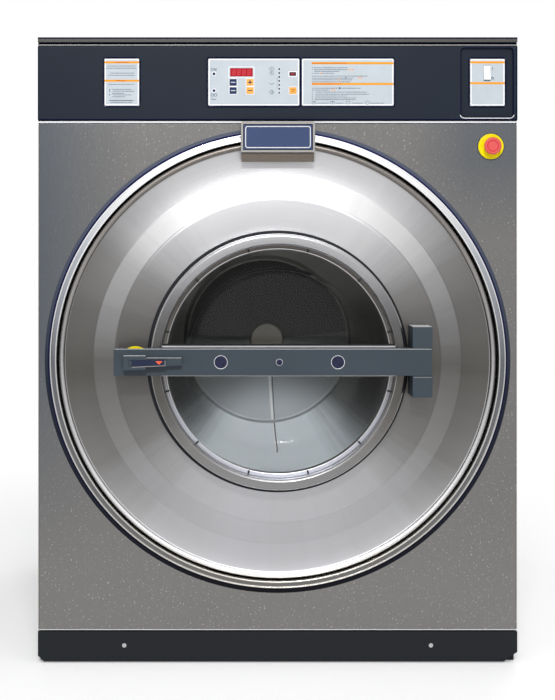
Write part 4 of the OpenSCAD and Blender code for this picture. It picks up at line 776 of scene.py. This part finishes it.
clamp = {"inner": 484, "outer": 499, "foot": -42, "front": 7, "lip": 3.2, "groove": 1.8}
c = clamp
turned("clampBand", [(c["inner"], c["foot"])]
       + arc(c["inner"] + 1.5, c["front"] - 1.5, 1.5, 180, 90, 4)
       + arc(c["inner"] + c["lip"] - 1, c["front"] - 1, 1, 90, 0, 3)
       + [(c["inner"] + c["lip"] + 1, c["front"] - c["groove"]), (c["outer"] - c["lip"] - 1, c["front"] - c["groove"])]
       + arc(c["outer"] - c["lip"] + 1, c["front"] - 1, 1, 180, 90, 3)
       + arc(c["outer"] - 1.5, c["front"] - 1.5, 1.5, 90, 0, 4)
       + [(c["outer"], c["foot"]), (c["inner"], c["foot"])],
       "clamp", replaced="tub_clamp_ring", steps=240)

turned("cutoutGasket", [(499.3, -4.3), (499.3, 1.0), (500.0, 2.0), (501.4, 2.3), (505.0, 2.3), (508.6, 1.7),
                        (510.0, 0.8), (510.0, 0.3), (502, 0.3), (502, -2.3), (505.8, -2.3), (505.8, -4.3),
                        (499.3, -4.3)], "seal", replaced="cutout_seal", steps=240)
turned("doorBellows", [(253, 6), (283, 6), (283, 10), (281.6, 11), (281.6, 12.4), (282.4, 13.2), (281.5, 15),
                       (279.5, 16.2), (279.5, 17), (278, 18), (259, 18), (256, 17.4), (254.2, 15.4), (253, 13.2),
                       (253, 6)], "rubber", replaced="door_seal", steps=200)
# a rubber lip set 2.5 mm low, so its dark line is thicker at the bottom as a painted shadow of the door ring
turned("bellowsLip", [(279, 6), (286.2, 6), (286.2, 6.6), (284, 7.6), (279, 7.6), (279, 6)],
       "rubber", centre=(0, axisZ - 0.0025), steps=200)
print("round front turned")

# Door: pressed ring, glass bowl, retainer with its clips, plugs and middle screw
turned("doorRing", [(246, 18.3), (257, 18.3)] + arc(259, 51.3, 2, 180, 90, 4) + arc(272, 51.3, 2, 90, 0, 4)
       + [(274, 18.3), (277, 18.3)] + arc(270.5, 49.8, 6.5, 0, 90, 8) + arc(260, 50.3, 6, 90, 180, 8)
       + [(254, 21.3), (246, 21.3), (246, 18.3)], "ring", "door", "door_ring", steps=220)


def dome(radius, centre, edge, steps):
    return [(radius * i / steps, centre + (edge - centre) * (i / steps) ** 2) for i in range(steps + 1)]


bowl = {"rim": 252, "back": 21.3, "front": 29.3, "floor": -54.7, "edgeFloor": -44.3, "wall": 8}
b = bowl
turned("glassBowl", list(reversed(dome(182.1, b["floor"] + b["wall"], -36.4, 8)))[:-1]
       + [(0, b["floor"] + b["wall"]), (0, b["floor"])]
       + dome(183.5, b["floor"], b["edgeFloor"], 8)[1:] + arc(179, -18.7, 26, -80, 0, 8)[1:]
       + [(240, 20.2), (241.5, 21.3), (b["rim"] - 1, b["back"]), (b["rim"], b["back"] + 1)]
       + arc(b["rim"] - 2, b["front"] - 2, 2, 0, 90, 3)
       + [(237, b["front"]), (234, 27)] + arc(179, -18.7, 18, 0, -80, 8), "glass", "door", "door_glass")

turned("glassRetainer", [(243, 29.3)] + arc(244.6, 31.7, 1.6, 180, 90, 3)
       + [(246.6, 33.3), (247.4, 31.9), (250.4, 31.9), (251.2, 33.3), (252.6, 33.3), (253.7, 32.2), (253.7, 29.3),
          (243, 29.3)], "ring", "door", "glass_retainer", steps=200)

clip = {"size": (0.0038, 0.0070, 0.0096), "round": 0.0012, "radius": 0.2484, "depth": 0.0333, "first": 15, "count": 12}
work = bmesh.new()
bmesh.ops.create_cube(work, size=1)
for v in work.verts:
    v.co = [place * size for place, size in zip(v.co, clip["size"])]
bmesh.ops.bevel(work, geom=work.edges[:], offset=clip["round"], segments=2, affect="EDGES")
clipMesh = bpy.data.meshes.new("clip")
work.to_mesh(clipMesh)
work.free()
clipTurns = [math.radians(clip["first"] + i * 360 / clip["count"]) for i in range(clip["count"])]
clipPoints = [(clip["radius"] * math.cos(a), front - clip["depth"], axisZ + clip["radius"] * math.sin(a))
              for a in clipTurns]
stamp = addToScene("stamp", clipMesh)
clips = runTree(scatterTree, pointMesh(clipPoints), {
    "Stamp": stamp, "Centre": (0, front, axisZ), "Material": finish["black"]})
bpy.data.objects.remove(stamp)
shadeByAngle(clips)
settle("retainerClips", clips, "black", "door", slot="black_rubber")
print("door ring and glass made")

plug = {"radius": 13.5, "dots": ((-5, 4.5), (4.5, -5)), "dotRadius": 2.1}
plugX = extent("bar_plugs")["right"] - plug["radius"]
plugSides = ((-1, "left"), (1, "right"))
plugProfile = [(0, 59.3), (9.5, 59.3), (9.5, 82.3), (13.5, 82.3)] + arc(12.5, 88.3, 1, 0, 90, 3) + [
    (11.2, 89.3), (10.6, 88.5), (0, 88.5), (0, 59.3)]
for side, word in plugSides:
    turned(word + "Plug", plugProfile, "plug", "door", "bar_plugs", (side * plugX * mm, barZ), 48)
turned("middleScrew", [(0, 88.3), (6.3, 88.3), (6.3, 89.2)] + arc(4.3, 88.8, 2, 0, 90, 4)
       + [(2.6, 90.8), (2.2, 89.2), (0, 89.2), (0, 88.3)], "plug", "door", "bar_plugs", (0, barZ), 32)
# painted highlights: bright rings round the plugs and the middle screw for light caught on their edges
for side, word in plugSides:
    turned(word + "PlugRim", [(13.5, 88.2), (14.7, 88.2), (14.7, 88.8), (14.2, 89.1), (13.5, 88.8), (13.5, 88.2)],
           "edge", "door", None, (side * plugX * mm, barZ), 48)
turned("middleScrewRim", [(6.3, 88.2), (7.3, 88.2), (7.3, 88.6), (6.8, 88.9), (6.3, 88.6), (6.3, 88.2)],
       "edge", "door", None, (0, barZ), 32)
plugDots = [arc(side * plugX + x, barZ / mm + z, plug["dotRadius"], 0, 324, 9)
            for x, z in plug["dots"] for side, _ in plugSides]
plates("plugDots", raised(plugDots, 88.4, 0.3, 0), "black", "door", "navy_plastic")

# Emergency stop
stopPlace = middle("stop_collar")
turned("stopCollar", [(5.1, -45), (11, -45), (11, 0), (28, 0), (28, 3)] + arc(25.5, 3, 2.5, 0, 80, 4)
       + [(22, 6), (13, 6), (12, 5.2), (5.1, 5.2), (5.1, -45)], "yellow", "machine", "stop_collar", stopPlace, 72)
turned("stopHead", [(0, 12), (9, 12), (9, 16), (15, 17)] + arc(15, 20, 3, -90, 0, 4) + [(18, 26)]
       + arc(14, 26, 5, 0, 75, 5)[1:] + [(13.4, 30.6), (12.4, 29.8), (0, 30.2), (0, 12)],
       "red", "stop_head", "stop_head", stopPlace, 72)
turned("stopHeadRing", [(10.8, 30.0), (12.6, 29.9), (12.6, 30.4), (10.8, 30.5), (10.8, 30.0)],
       "redRing", "stop_head", None, stopPlace, 60)
turned("stopShade", [(27.6, 0), (29.8, 0), (29.6, 0.7), (27.6, 0.9), (27.6, 0)],
       "navyInk", "machine", None, stopPlace, 72, slot="black_rubber")
print("bar fittings and stop button made")

# Perforations of the drum's wall
drumHoles = {"Around": 156, "Rows": 30, "Radius": 0.4476, "Pitch": 0.0185, "Hole": 0.0028}
holes = runTree(holesTree, pointMesh([(0, 0, 0)]), {
    **drumHoles, "Centre": (0, front + 0.085, axisZ), "Material": finish["blackPlastic"]})
settle("drumPerforations", holes, "blackPlastic", "drum")


# Weld line across the pressed middle of the drum's back: ends, width, lowest and highest depth
def seamStrips(strips):
    shapes = []
    for x0, z0, x1, z1, wide, back, face in strips:
        across = Vector((z1 - z0, x0 - x1)).normalized() * wide / 2
        outline = [(x0 - across.x, z0 - across.y), (x0 + across.x, z0 + across.y),
                   (x1 + across.x, z1 + across.y), (x1 - across.x, z1 - across.y)]
        shapes.append((shifted(outline, 0, axisZ / mm), back, face))
    return shapes


# a raised weld line whose brightness below the axis is a painted highlight; the dark strips beside it are a painted
# shadow
plates("drumSeam", seamStrips(((3, -42, 15, -210, 6.0, -650, -647.4), (-6, 42, -18, 209, 3.5, -650, -648.2),
                               (16, -216, 24, -300, 2.4, -658, -656.4))), "seam", "drum")
plates("drumSeamShade", seamStrips(((11, -42, 20, -209, 2.4, -650, -648.6),
                                    (19.5, -216, 28.5, -300, 3.0, -658, -656.5))), "cast", "drum")
print("drum perforated")

# Keys with their marks: finish, body, the marks' ink, and bars from the key's lower left corner
keys = {
    "key_program": ("navyInk", "program_button", "_bar", "film", ((2.5, 6.0, 10, 2.0),)),
    "key_temperature": ("navyInk", "temperature_button", "_bar", "film", ((2.5, 6.0, 10, 2.0),)),
    "key_plus": ("orange", "plus_button", "_mark", "navyInk",
                 ((2.5, 5.9, 10, 2.2), (6.4, 2.0, 2.2, 3.9), (6.4, 8.1, 2.2, 3.9))),
    "key_minus": ("orange", "minus_button", "_mark", "navyInk", ((2.5, 5.9, 10, 2.2),)),
    "key_start": ("orange", "start_button", "_mark", "rustInk", ((3, 8.4, 9, 1.5), (4, 4.6, 7, 1.5))),
}
keyEdge = 0.35
for node, (skin, body, *_) in keys.items():
    softened(node, skin, body, keyEdge)
for node, (_, body, ending, ink, marks) in keys.items():
    key = extent(node)
    outlines = [bar(key["left"] + x, key["foot"] + z, w, h) for x, z, w, h in marks]
    plates(node + ending, raised(outlines, key["face"], 0.15, 0.1), ink, body)

# Printed films: left edge, width, printed face, depths of the gap round it, and stripes as (x, width, height, places)
inlays, keypad, switch = extent("info_inlays"), extent("keypad_panel"), extent("switch_plate")
films = {
    "label": {"x": inlays["left"], "wide": 78, "level": 4.8, "gap": (3.98, 4.5),
              "stripes": (1.4, 75.2, 4.2, (53.6, 93.8))},
    "guide": {"x": inlays["right"] - 203, "wide": 203, "level": 4.8, "gap": (3.98, 4.5),
              "stripes": (22.4, 179, 4.6, (46.4, 91.8))},
    "keypad": {"x": keypad["left"], "wide": 201.5, "level": 6.0, "gap": (3.98, 5.6), "stripes": (0, 0, 0, ())},
    "switch": {"x": switch["left"], "wide": 78, "level": 0.0, "gap": (-2.02, -0.4),
               "stripes": (1.4, 75.2, 4.3, (48.6, 94.2))},
}
filmLook = {"high": 105, "round": 4, "inset": 1.3, "border": 3.0, "lineInset": 0.1, "line": 1.2,
            "gap": 2.4, "gapLine": 2.35, "gapRound": 6, "lift": 0.12, "sunk": 0.05, "stripeLift": 0.2}
labelX, guideX, filmFoot = films["label"]["x"], films["guide"]["x"], inlays["foot"]
borders, outlines, stripes = [], [], []
k = filmLook
for film in films.values():
    x, w, level, out = film["x"], film["wide"], film["level"], k["gap"]
    borders += raised(frameBand(x, filmFoot, w, k["high"], k["inset"], k["border"], k["round"]),
                      level, k["lift"], k["sunk"])
    outlines += [(band, *film["gap"]) for band in frameBand(
        x - out, filmFoot - out, w + 2 * out, k["high"] + 2 * out, 0, k["gapLine"], k["gapRound"])]
    outlines += raised(frameBand(x, filmFoot, w, k["high"], k["lineInset"], k["line"], k["round"]),
                       level, k["lift"], k["sunk"])
    inset, length, height, places = film["stripes"]
    stripes += raised([bar(x + inset, filmFoot + z, length, height) for z in places], level, k["stripeLift"], k["sunk"])
plates("filmBorders", borders, "whiteFilm")
plates("filmOutlines", outlines, "lineInk", slot="navy_plastic")
plates("filmStripes", stripes, "orangeInk")

dash = {"run": (1.2, 4.2), "gap": (0.3, 0.9), "least": 0.8, "inked": 0.84}


# A row of unreadable print: a run of short dashes of uneven length
def dashes(x, z, length, height, source):
    marks = []
    reach = x
    while reach < x + length - dash["least"]:
        run = min(source.uniform(*dash["run"]), x + length - reach)
        marks.append(bar(reach, z - height / 2, run * dash["inked"], height))
        reach += run + source.uniform(*dash["gap"])
    return marks


# Rows on the stripes as (x, height above the foot, length), and on the films as (height, from, to)
source = random.Random(7)
level = films["guide"]["level"]
stripeRows = ((labelX + 27, 55.8, 22), (labelX + 25, 96.0, 29), (guideX + 22.6, 48.7, 66), (guideX + 22.6, 94.1, 77))
stripePrint = [mark for x, z, length in stripeRows for mark in dashes(x, filmFoot + z, length, 1.7, source)]
plates("stripePrint", raised(stripePrint, level + 0.2, 0.14), "rustInk")
labelRows = [(87.7, 8, 69), (83.0, 5, 71), (72.3, 13, 68), (67.6, 9, 68), (47.6, 10, 66), (36.7, 18, 61),
             (32.7, 19, 68), (28.0, 18, 44), (24.6, 19, 61), (20.6, 18, 47), (12.5, 12, 65), (12.0, 13, 64),
             (8.3, 14, 63)]
guideRows = [(84.0, 27, 102), (79.8, 28, 100), (76.0, 28, 83), (72.0, 28, 72), (65.8, 23, 145), (61.4, 23, 114),
             (57.6, 23, 112), (53.2, 23, 107), (39.3, 23, 80), (39.3, 88, 130), (35.2, 23, 61), (30.8, 31, 143),
             (26.2, 31, 148), (22.2, 31, 101), (18.0, 30, 120), (14.4, 30, 118), (6.6, 35, 60), (6.6, 76, 93),
             (6.6, 111, 135), (6.6, 151, 182)]
rows = []
for corner, table in ((labelX, labelRows), (guideX, guideRows)):
    for z, x0, x1 in table:
        rows += dashes(corner + x0, filmFoot + z, x1 - x0, 1.4, source)
plates("printRows", raised(rows, level, 0.14), "greyInk")

navyDots = [(labelX + 12.4, z, 1.3) for z in (36.4, 33.0, 25.0)]
navyDots += [(guideX + 24, z, 0.9) for z in (84, 79.8, 72, 30.8, 26.4, 22, 18, 14.4)]
navyDots += [(guideX + x, z, r) for x, z, r in ((97.3, 61.5, 1.7), (83.9, 39.3, 2.1), (27.5, 9.0, 1.2), (68, 9.0, 1.2))]
orangeDots = [(guideX + x, z, 1.6) for x, z in ((104.5, 79.8), (111.3, 79.8), (42.8, 71.6), (125.5, 61.9),
                                                (131, 61.9), (81.8, 57.6), (67, 35.2), (72.5, 35.2))]
for name, dots, ink in (("guideDots", navyDots, "navyInk"), ("guideMarks", orangeDots, "orangeInk")):
    plates(name, raised([circle(x, filmFoot + z, r, 10) for x, z, r in dots], level, 0.16), ink)
icons = hoop(guideX + 144.5, filmFoot + 7.6, 4.4, 0.7)
for x in (27.5, 68, 102):
    icons += frameBand(guideX + x - 4.5, filmFoot + 4.4, 9, 6.4, 0, 0.7, 1.4)
plates("guideIcons", raised(icons, level, 0.13), "greyInk")

# Keypad graphics, in millimetres from the keypad's lower left corner
keypadPrint = {
    "frames": ((46.2, 25.2, 18.6, 35.6), (83.2, 25.2, 18.6, 35.6), (45.4, 61.4, 56.7, 25.2), (177.2, 25.2, 18.6, 17.6)),
    "frameLine": 1.45, "frameRound": 2, "barsX": (47.7, 84.7), "barZ": 41.35, "bar": (15.6, 3.3),
    "lampX": 13.7, "lampsZ": (70.6, 33.8), "lampHalo": 5.0, "lampDot": 3.3,
    "stepX": 156.4, "stepsZ": [29.2 + i * 8.65 for i in range(7)], "stepHalo": 3.1, "stepDot": 2.3,
    "window": (185.9, 70.3), "symbolX": 139.8,
}
k = keypadPrint
level = films["keypad"]["level"]


def onKeypad(outlines, lift, sunk=0.04):
    return raised([shifted(outline, keypad["left"], filmFoot) for outline in outlines], level, lift, sunk)


def lampCircles(lampRadius, stepRadius):
    return ([circle(k["lampX"], z, lampRadius) for z in k["lampsZ"]]
            + [circle(k["stepX"], z, stepRadius) for z in k["stepsZ"]])


halos = [band for spot in k["frames"] for band in frameBand(*spot, 0, k["frameLine"], k["frameRound"])]
halos += [bar(x, k["barZ"], *k["bar"]) for x in k["barsX"]]
discs = lampCircles(k["lampHalo"], k["stepHalo"]) + [shifted(rounded(18.6, 12.4, 2), *k["window"])]
plates("keypadHalos", onKeypad(halos, 0.10) + onKeypad(discs, 0.08), "whiteFilm")
plates("keypadDots", onKeypad(lampCircles(k["lampDot"], k["stepDot"]), 0.2, -0.02), "navyInk")

signs = hoop(9.6, 80, 3.0, 0.95) + [bar(x, 77.2, 1.0, 5.6) for x in (14.2, 18.0)]
signs += [[(14.2, 82.8), (15.4, 82.8), (19.0, 77.2), (17.8, 77.2)]]
signs += hoop(10.2, 24.4, 3.5, 1.0) + hoop(17.0, 24.4, 3.5, 1.0) + bow(13.6, 19.6, 6.2, 1.0, 200, 320)
plates("keypadSigns", onKeypad(signs, 0.14), "greyInk")
x = k["symbolX"]
symbols = hoop(x, 80.8, 5.0, 0.75) + bow(x, 73.6, 5.2, 0.75, 180, 360) + bow(x, 52.6, 5.4, 0.9, 195, 345)
symbols += hoop(x, 30.4, 4.6, 0.8) + hoop(x + 0.6, 30.4, 2.4, 0.6)
symbols += [circle(x, 80.8, 1.2, 8), circle(x, 73.8, 1.4, 8), bar(151.8, 38.5, 0.5, 24)]
plates("keypadSymbols", onKeypad(symbols, 0.12), "greyInk")
plates("lampWindow", onKeypad([shifted(rounded(14.6, 8.4, 1.2), *k["window"])], 0.3, -0.02), "lamp")
plates("lampGlow", onKeypad([bar(182.4 + i * 2.7, 69.2, 1.5, 2.2) for i in range(3)], 0.4, -0.2), "digit")

# Unlit seven-segment digits of the display, with a faint painted glow
display = extent("display_window")
digit = {"count": 4, "wide": 6.2, "tall": 11.2, "line": 1.15, "pitch": 10.9, "lean": 0.10, "left": 4.4, "foot": 3.1}
w, h, line = digit["wide"], digit["tall"], digit["line"]
strokes = [(line, z, w - 2 * line, line) for z in (h - line, h / 2 - line / 2, 0)]
strokes += [(x, z, line, h / 2 - line * 0.7) for x in (0, w - line) for z in (h / 2 + 0.2, line * 0.5)]
segments = []
for place in range(digit["count"]):
    x0 = display["left"] + digit["left"] + place * digit["pitch"]
    z0 = display["foot"] + digit["foot"]
    segments += [[(x0 + px + pz * digit["lean"], z0 + pz) for px, pz in bar(*stroke)] for stroke in strokes]
plates("displayDigits", raised(segments, display["face"], 0.2, 0.05), "digit")

# Switch plate: marks beside the rocker, and its shade
rocker = extent("rocker_switch")
plates("rockerMarks", raised([bar(rocker["right"] + 3.2, rocker["top"] - 9.5, 1.2, 5)]
                             + hoop(rocker["right"] + 4, rocker["foot"] + 4.4, 2.8, 1.1), 0, 0.15, 0.05), "greyInk")
plates("rockerShade", [(bar(rocker["left"] + 0.8, rocker["foot"] - 1.9, rocker["wide"] - 1.6, 1.6), -0.05, 0.12)],
       "greyInk", slot="black_rubber")
print("films printed")

# Lever: dark field with its lit lower line and its arrow, and painted highlights along its upper edges
lever = extent("latch_lever")
leverX, leverZ, leverFront = lever["left"], middle("latch_lever")[1] / mm, lever["face"]
leverMarks = {"left": 18, "right": 88, "top": 6.6, "lowLeft": -8.0, "lowRight": -4.6, "line": 1.3, "endLine": 11,
              "arrow": ((68, 4.2), (75.7, -2.8), (83.4, 4.2)), "head": 48, "armDrop": 5, "arm": 75, "wearAndHighlight": 0.5}
m = leverMarks


def onLever(*points):
    return [(leverX + x, leverZ + z) for x, z in points]


lowLeft, lowRight = (m["left"], m["lowLeft"]), (m["right"], m["lowRight"])
underLeft, underRight = (m["left"], m["lowLeft"] - m["line"]), (m["right"], m["lowRight"] - m["line"])
plates("leverField", raised([onLever(lowLeft, lowRight, (m["right"], m["top"]), (m["left"], m["top"]))],
                            leverFront, 0.02, 8), "leverNavy", "latch")
plates("leverFieldLine", raised([onLever(underLeft, underRight, lowRight, lowLeft),
                                 bar(*onLever(underRight)[0], m["line"], m["endLine"])], leverFront, 0.04, 8),
       "plateEdge", "latch", "slate_paint")
plates("leverArrow", raised([onLever(*m["arrow"])], leverFront, 0.1, 1.0), "signal", "latch")
# painted highlights: light strips along the lever's upper edges
plates("leverEdges", [(bar(leverX + 0.8, lever["top"] - 0.1, m["head"] - 1.6, m["wearAndHighlight"]),
                       leverFront - 22, leverFront - 0.6),
                      (bar(leverX + m["head"], lever["top"] - m["armDrop"] - 0.1, m["arm"], m["wearAndHighlight"]),
                       leverFront - 22, leverFront - 8)], "edge", "latch")

# Painted highlights on the edges of the bar, the hinge and the crossbar, and painted shade in the gaps by the crossbar:
# outline, depths, finish, body and slot
doorBar, hinge, cross = extent("door_bar"), extent("hinge_block"), extent("door_crossbar")
hingeLeft, hingeWide = hinge["left"] + 0.6, hinge["wide"] - 1.2
crossLeft, crossWide = cross["left"] + 2, cross["wide"] - 4
trims = {
    # painted highlight along the bar's top edge
    "barEdges": (bar(doorBar["left"] + 1, doorBar["top"] - 1.1, doorBar["wide"] - 2, 0.8), 87.5, 88.4,
                 "edge", "door", "slate_paint"),
    # painted highlights on the hinge's top face and on its edge under the bar
    "hingeCap": (bar(hingeLeft, hinge["top"] - 0.1, hingeWide, 0.5), 19, 87.6, "edge", "machine", None),
    "hingeEdges": (bar(hingeLeft + 0.6, doorBar["foot"] - 4.1, hingeWide - 1.2, 0.9), 87.2, 88.4,
                   "plateEdge", "machine", "slate_paint"),
    # a dark rubber strip standing in for the shaded gap above the crossbar
    "crossbarGasket": (bar(crossLeft, cross["top"] - 0.5, crossWide, 3.0), 33.4, 36.5, "rubber", "door", None),
    "crossbarShade": (bar(crossLeft, doorBar["top"] + 0.1, crossWide, 0.7), 56.1, 56.5,
                      "lineInk", "door", "black_rubber"),
    # painted highlight along the crossbar's top
    "crossbarLine": (bar(crossLeft, doorBar["top"] + 0.9, crossWide, 2.9), 55.5, 56.6, "edge", "door", None),
}
for name, (outline, back, face, skin, body, slot) in trims.items():
    plates(name, [(outline, back, face)], skin, body, slot)
print("edges finished")

# Lines where the panels meet: dark joints, painted shade under the panel's top fold, and painted highlights on folded
# edges and panel sides
cover, fascia, panel = extent("top_cover"), extent("control_fascia"), extent("front_panel")
left, wide, fasciaFace = fascia["left"], fascia["wide"], fascia["face"]
joints = {"cover": 3.2, "foot": 2.0, "side": 2.6, "light": 1.8, "deep": -8}


# A strip right across the front, as far in from both sides
def strip(inset, z, height):
    return bar(left + inset, z, wide - 2 * inset, height)


sideJoints = [bar(x, fascia["foot"] + 1.4, joints["side"], fascia["top"] - fascia["foot"] - 4)
              for x in (left + 0.1, left + wide - joints["side"] - 0.1)]
plates("darkJoints", raised([strip(0.1, cover["top"] - joints["cover"] - 0.2, joints["cover"])],
                            cover["face"], 0.1, 0.8)
       + raised([strip(0.6, fascia["foot"] + 0.6, joints["foot"])] + sideJoints, fasciaFace, 0.1, 1.6)
       + [(strip(0.3, fascia["top"] + 2.0, cover["foot"] - fascia["top"] - 2.1), joints["deep"], -3),
          (strip(0.3, panel["top"] + 2.5, fascia["foot"] - panel["top"] - 2.6), joints["deep"], -0.5),
          # painted shade under the panel's top fold
          (strip(1, panel["top"] - 3.3, 1.6), -0.3, 0.12)], "lineInk")
# painted highlights along the folds at the panel's top and foot
plates("brightFolds", [(strip(0.4, panel["top"] - 1.6, 4.0), -0.3, 0.3),
                       (strip(0.4, panel["top"] + 0.1, 2.3), joints["deep"], 0.2),
                       (strip(0.6, panel["foot"] + 0.6, joints["light"]), -0.3, 0.12)], "edge")
# painted highlights down the panel's sides and along the fascia's top
plates("panelEdges", [(bar(left + x, panel["foot"] + 3, 1.3, panel["top"] - panel["foot"] - 8), -0.3, 0.1)
                      for x in (0.6, wide - 1.9)]
       + [(strip(0.6, fascia["top"] + 0.1, joints["light"]), joints["deep"], 3.4)], "plateEdge")

# Outline of the switch recess, with its lower lip lit
recess = {"x": 402, "z": 1196, "w": 113, "h": 150, "line": 1.9, "lip": 1.8, "out": 4, "radius": 9}
q = recess


def roundRecess(out, line, radius):
    return frameBand(q["x"] - out, q["z"] - out, q["w"] + 2 * out, q["h"] + 2 * out, 0, line, radius)


plates("recessOutline", raised(roundRecess(q["line"], q["line"], q["radius"]), fasciaFace, 0.05, 0.6), "lineInk")
lip = [band for band in roundRecess(q["out"], q["lip"], q["radius"] + 2) if max(z for _, z in band) < q["z"] + 6]
plates("recessLip", raised(lip, fasciaFace, 0.06, 0.6), "edge")
print("joints lined")

# Nameplate: bare field in a steel frame, with a raised line round it, as (inset, width, radius, lowest, highest)
plate = extent("nameplate")
plateBands = {"nameplateFrame": (0.4, 4.6, 2.5, 1.4, 0.15, "plateEdge"),
              "nameplateGroove": (5.0, 1.5, 2.5, 1.6, -0.2, "lineInk"),
              "nameplateLine": (9.6, 1.9, 15, 1.4, -0.3, "edge")}
for name, (inset, width, radius, sunk, lift, skin) in plateBands.items():
    bands = frameBand(plate["left"], plate["foot"], plate["wide"], plate["top"] - plate["foot"], inset, width, radius)
    plates(name, raised(bands, plate["face"], lift, sunk), skin)
print("nameplate framed")
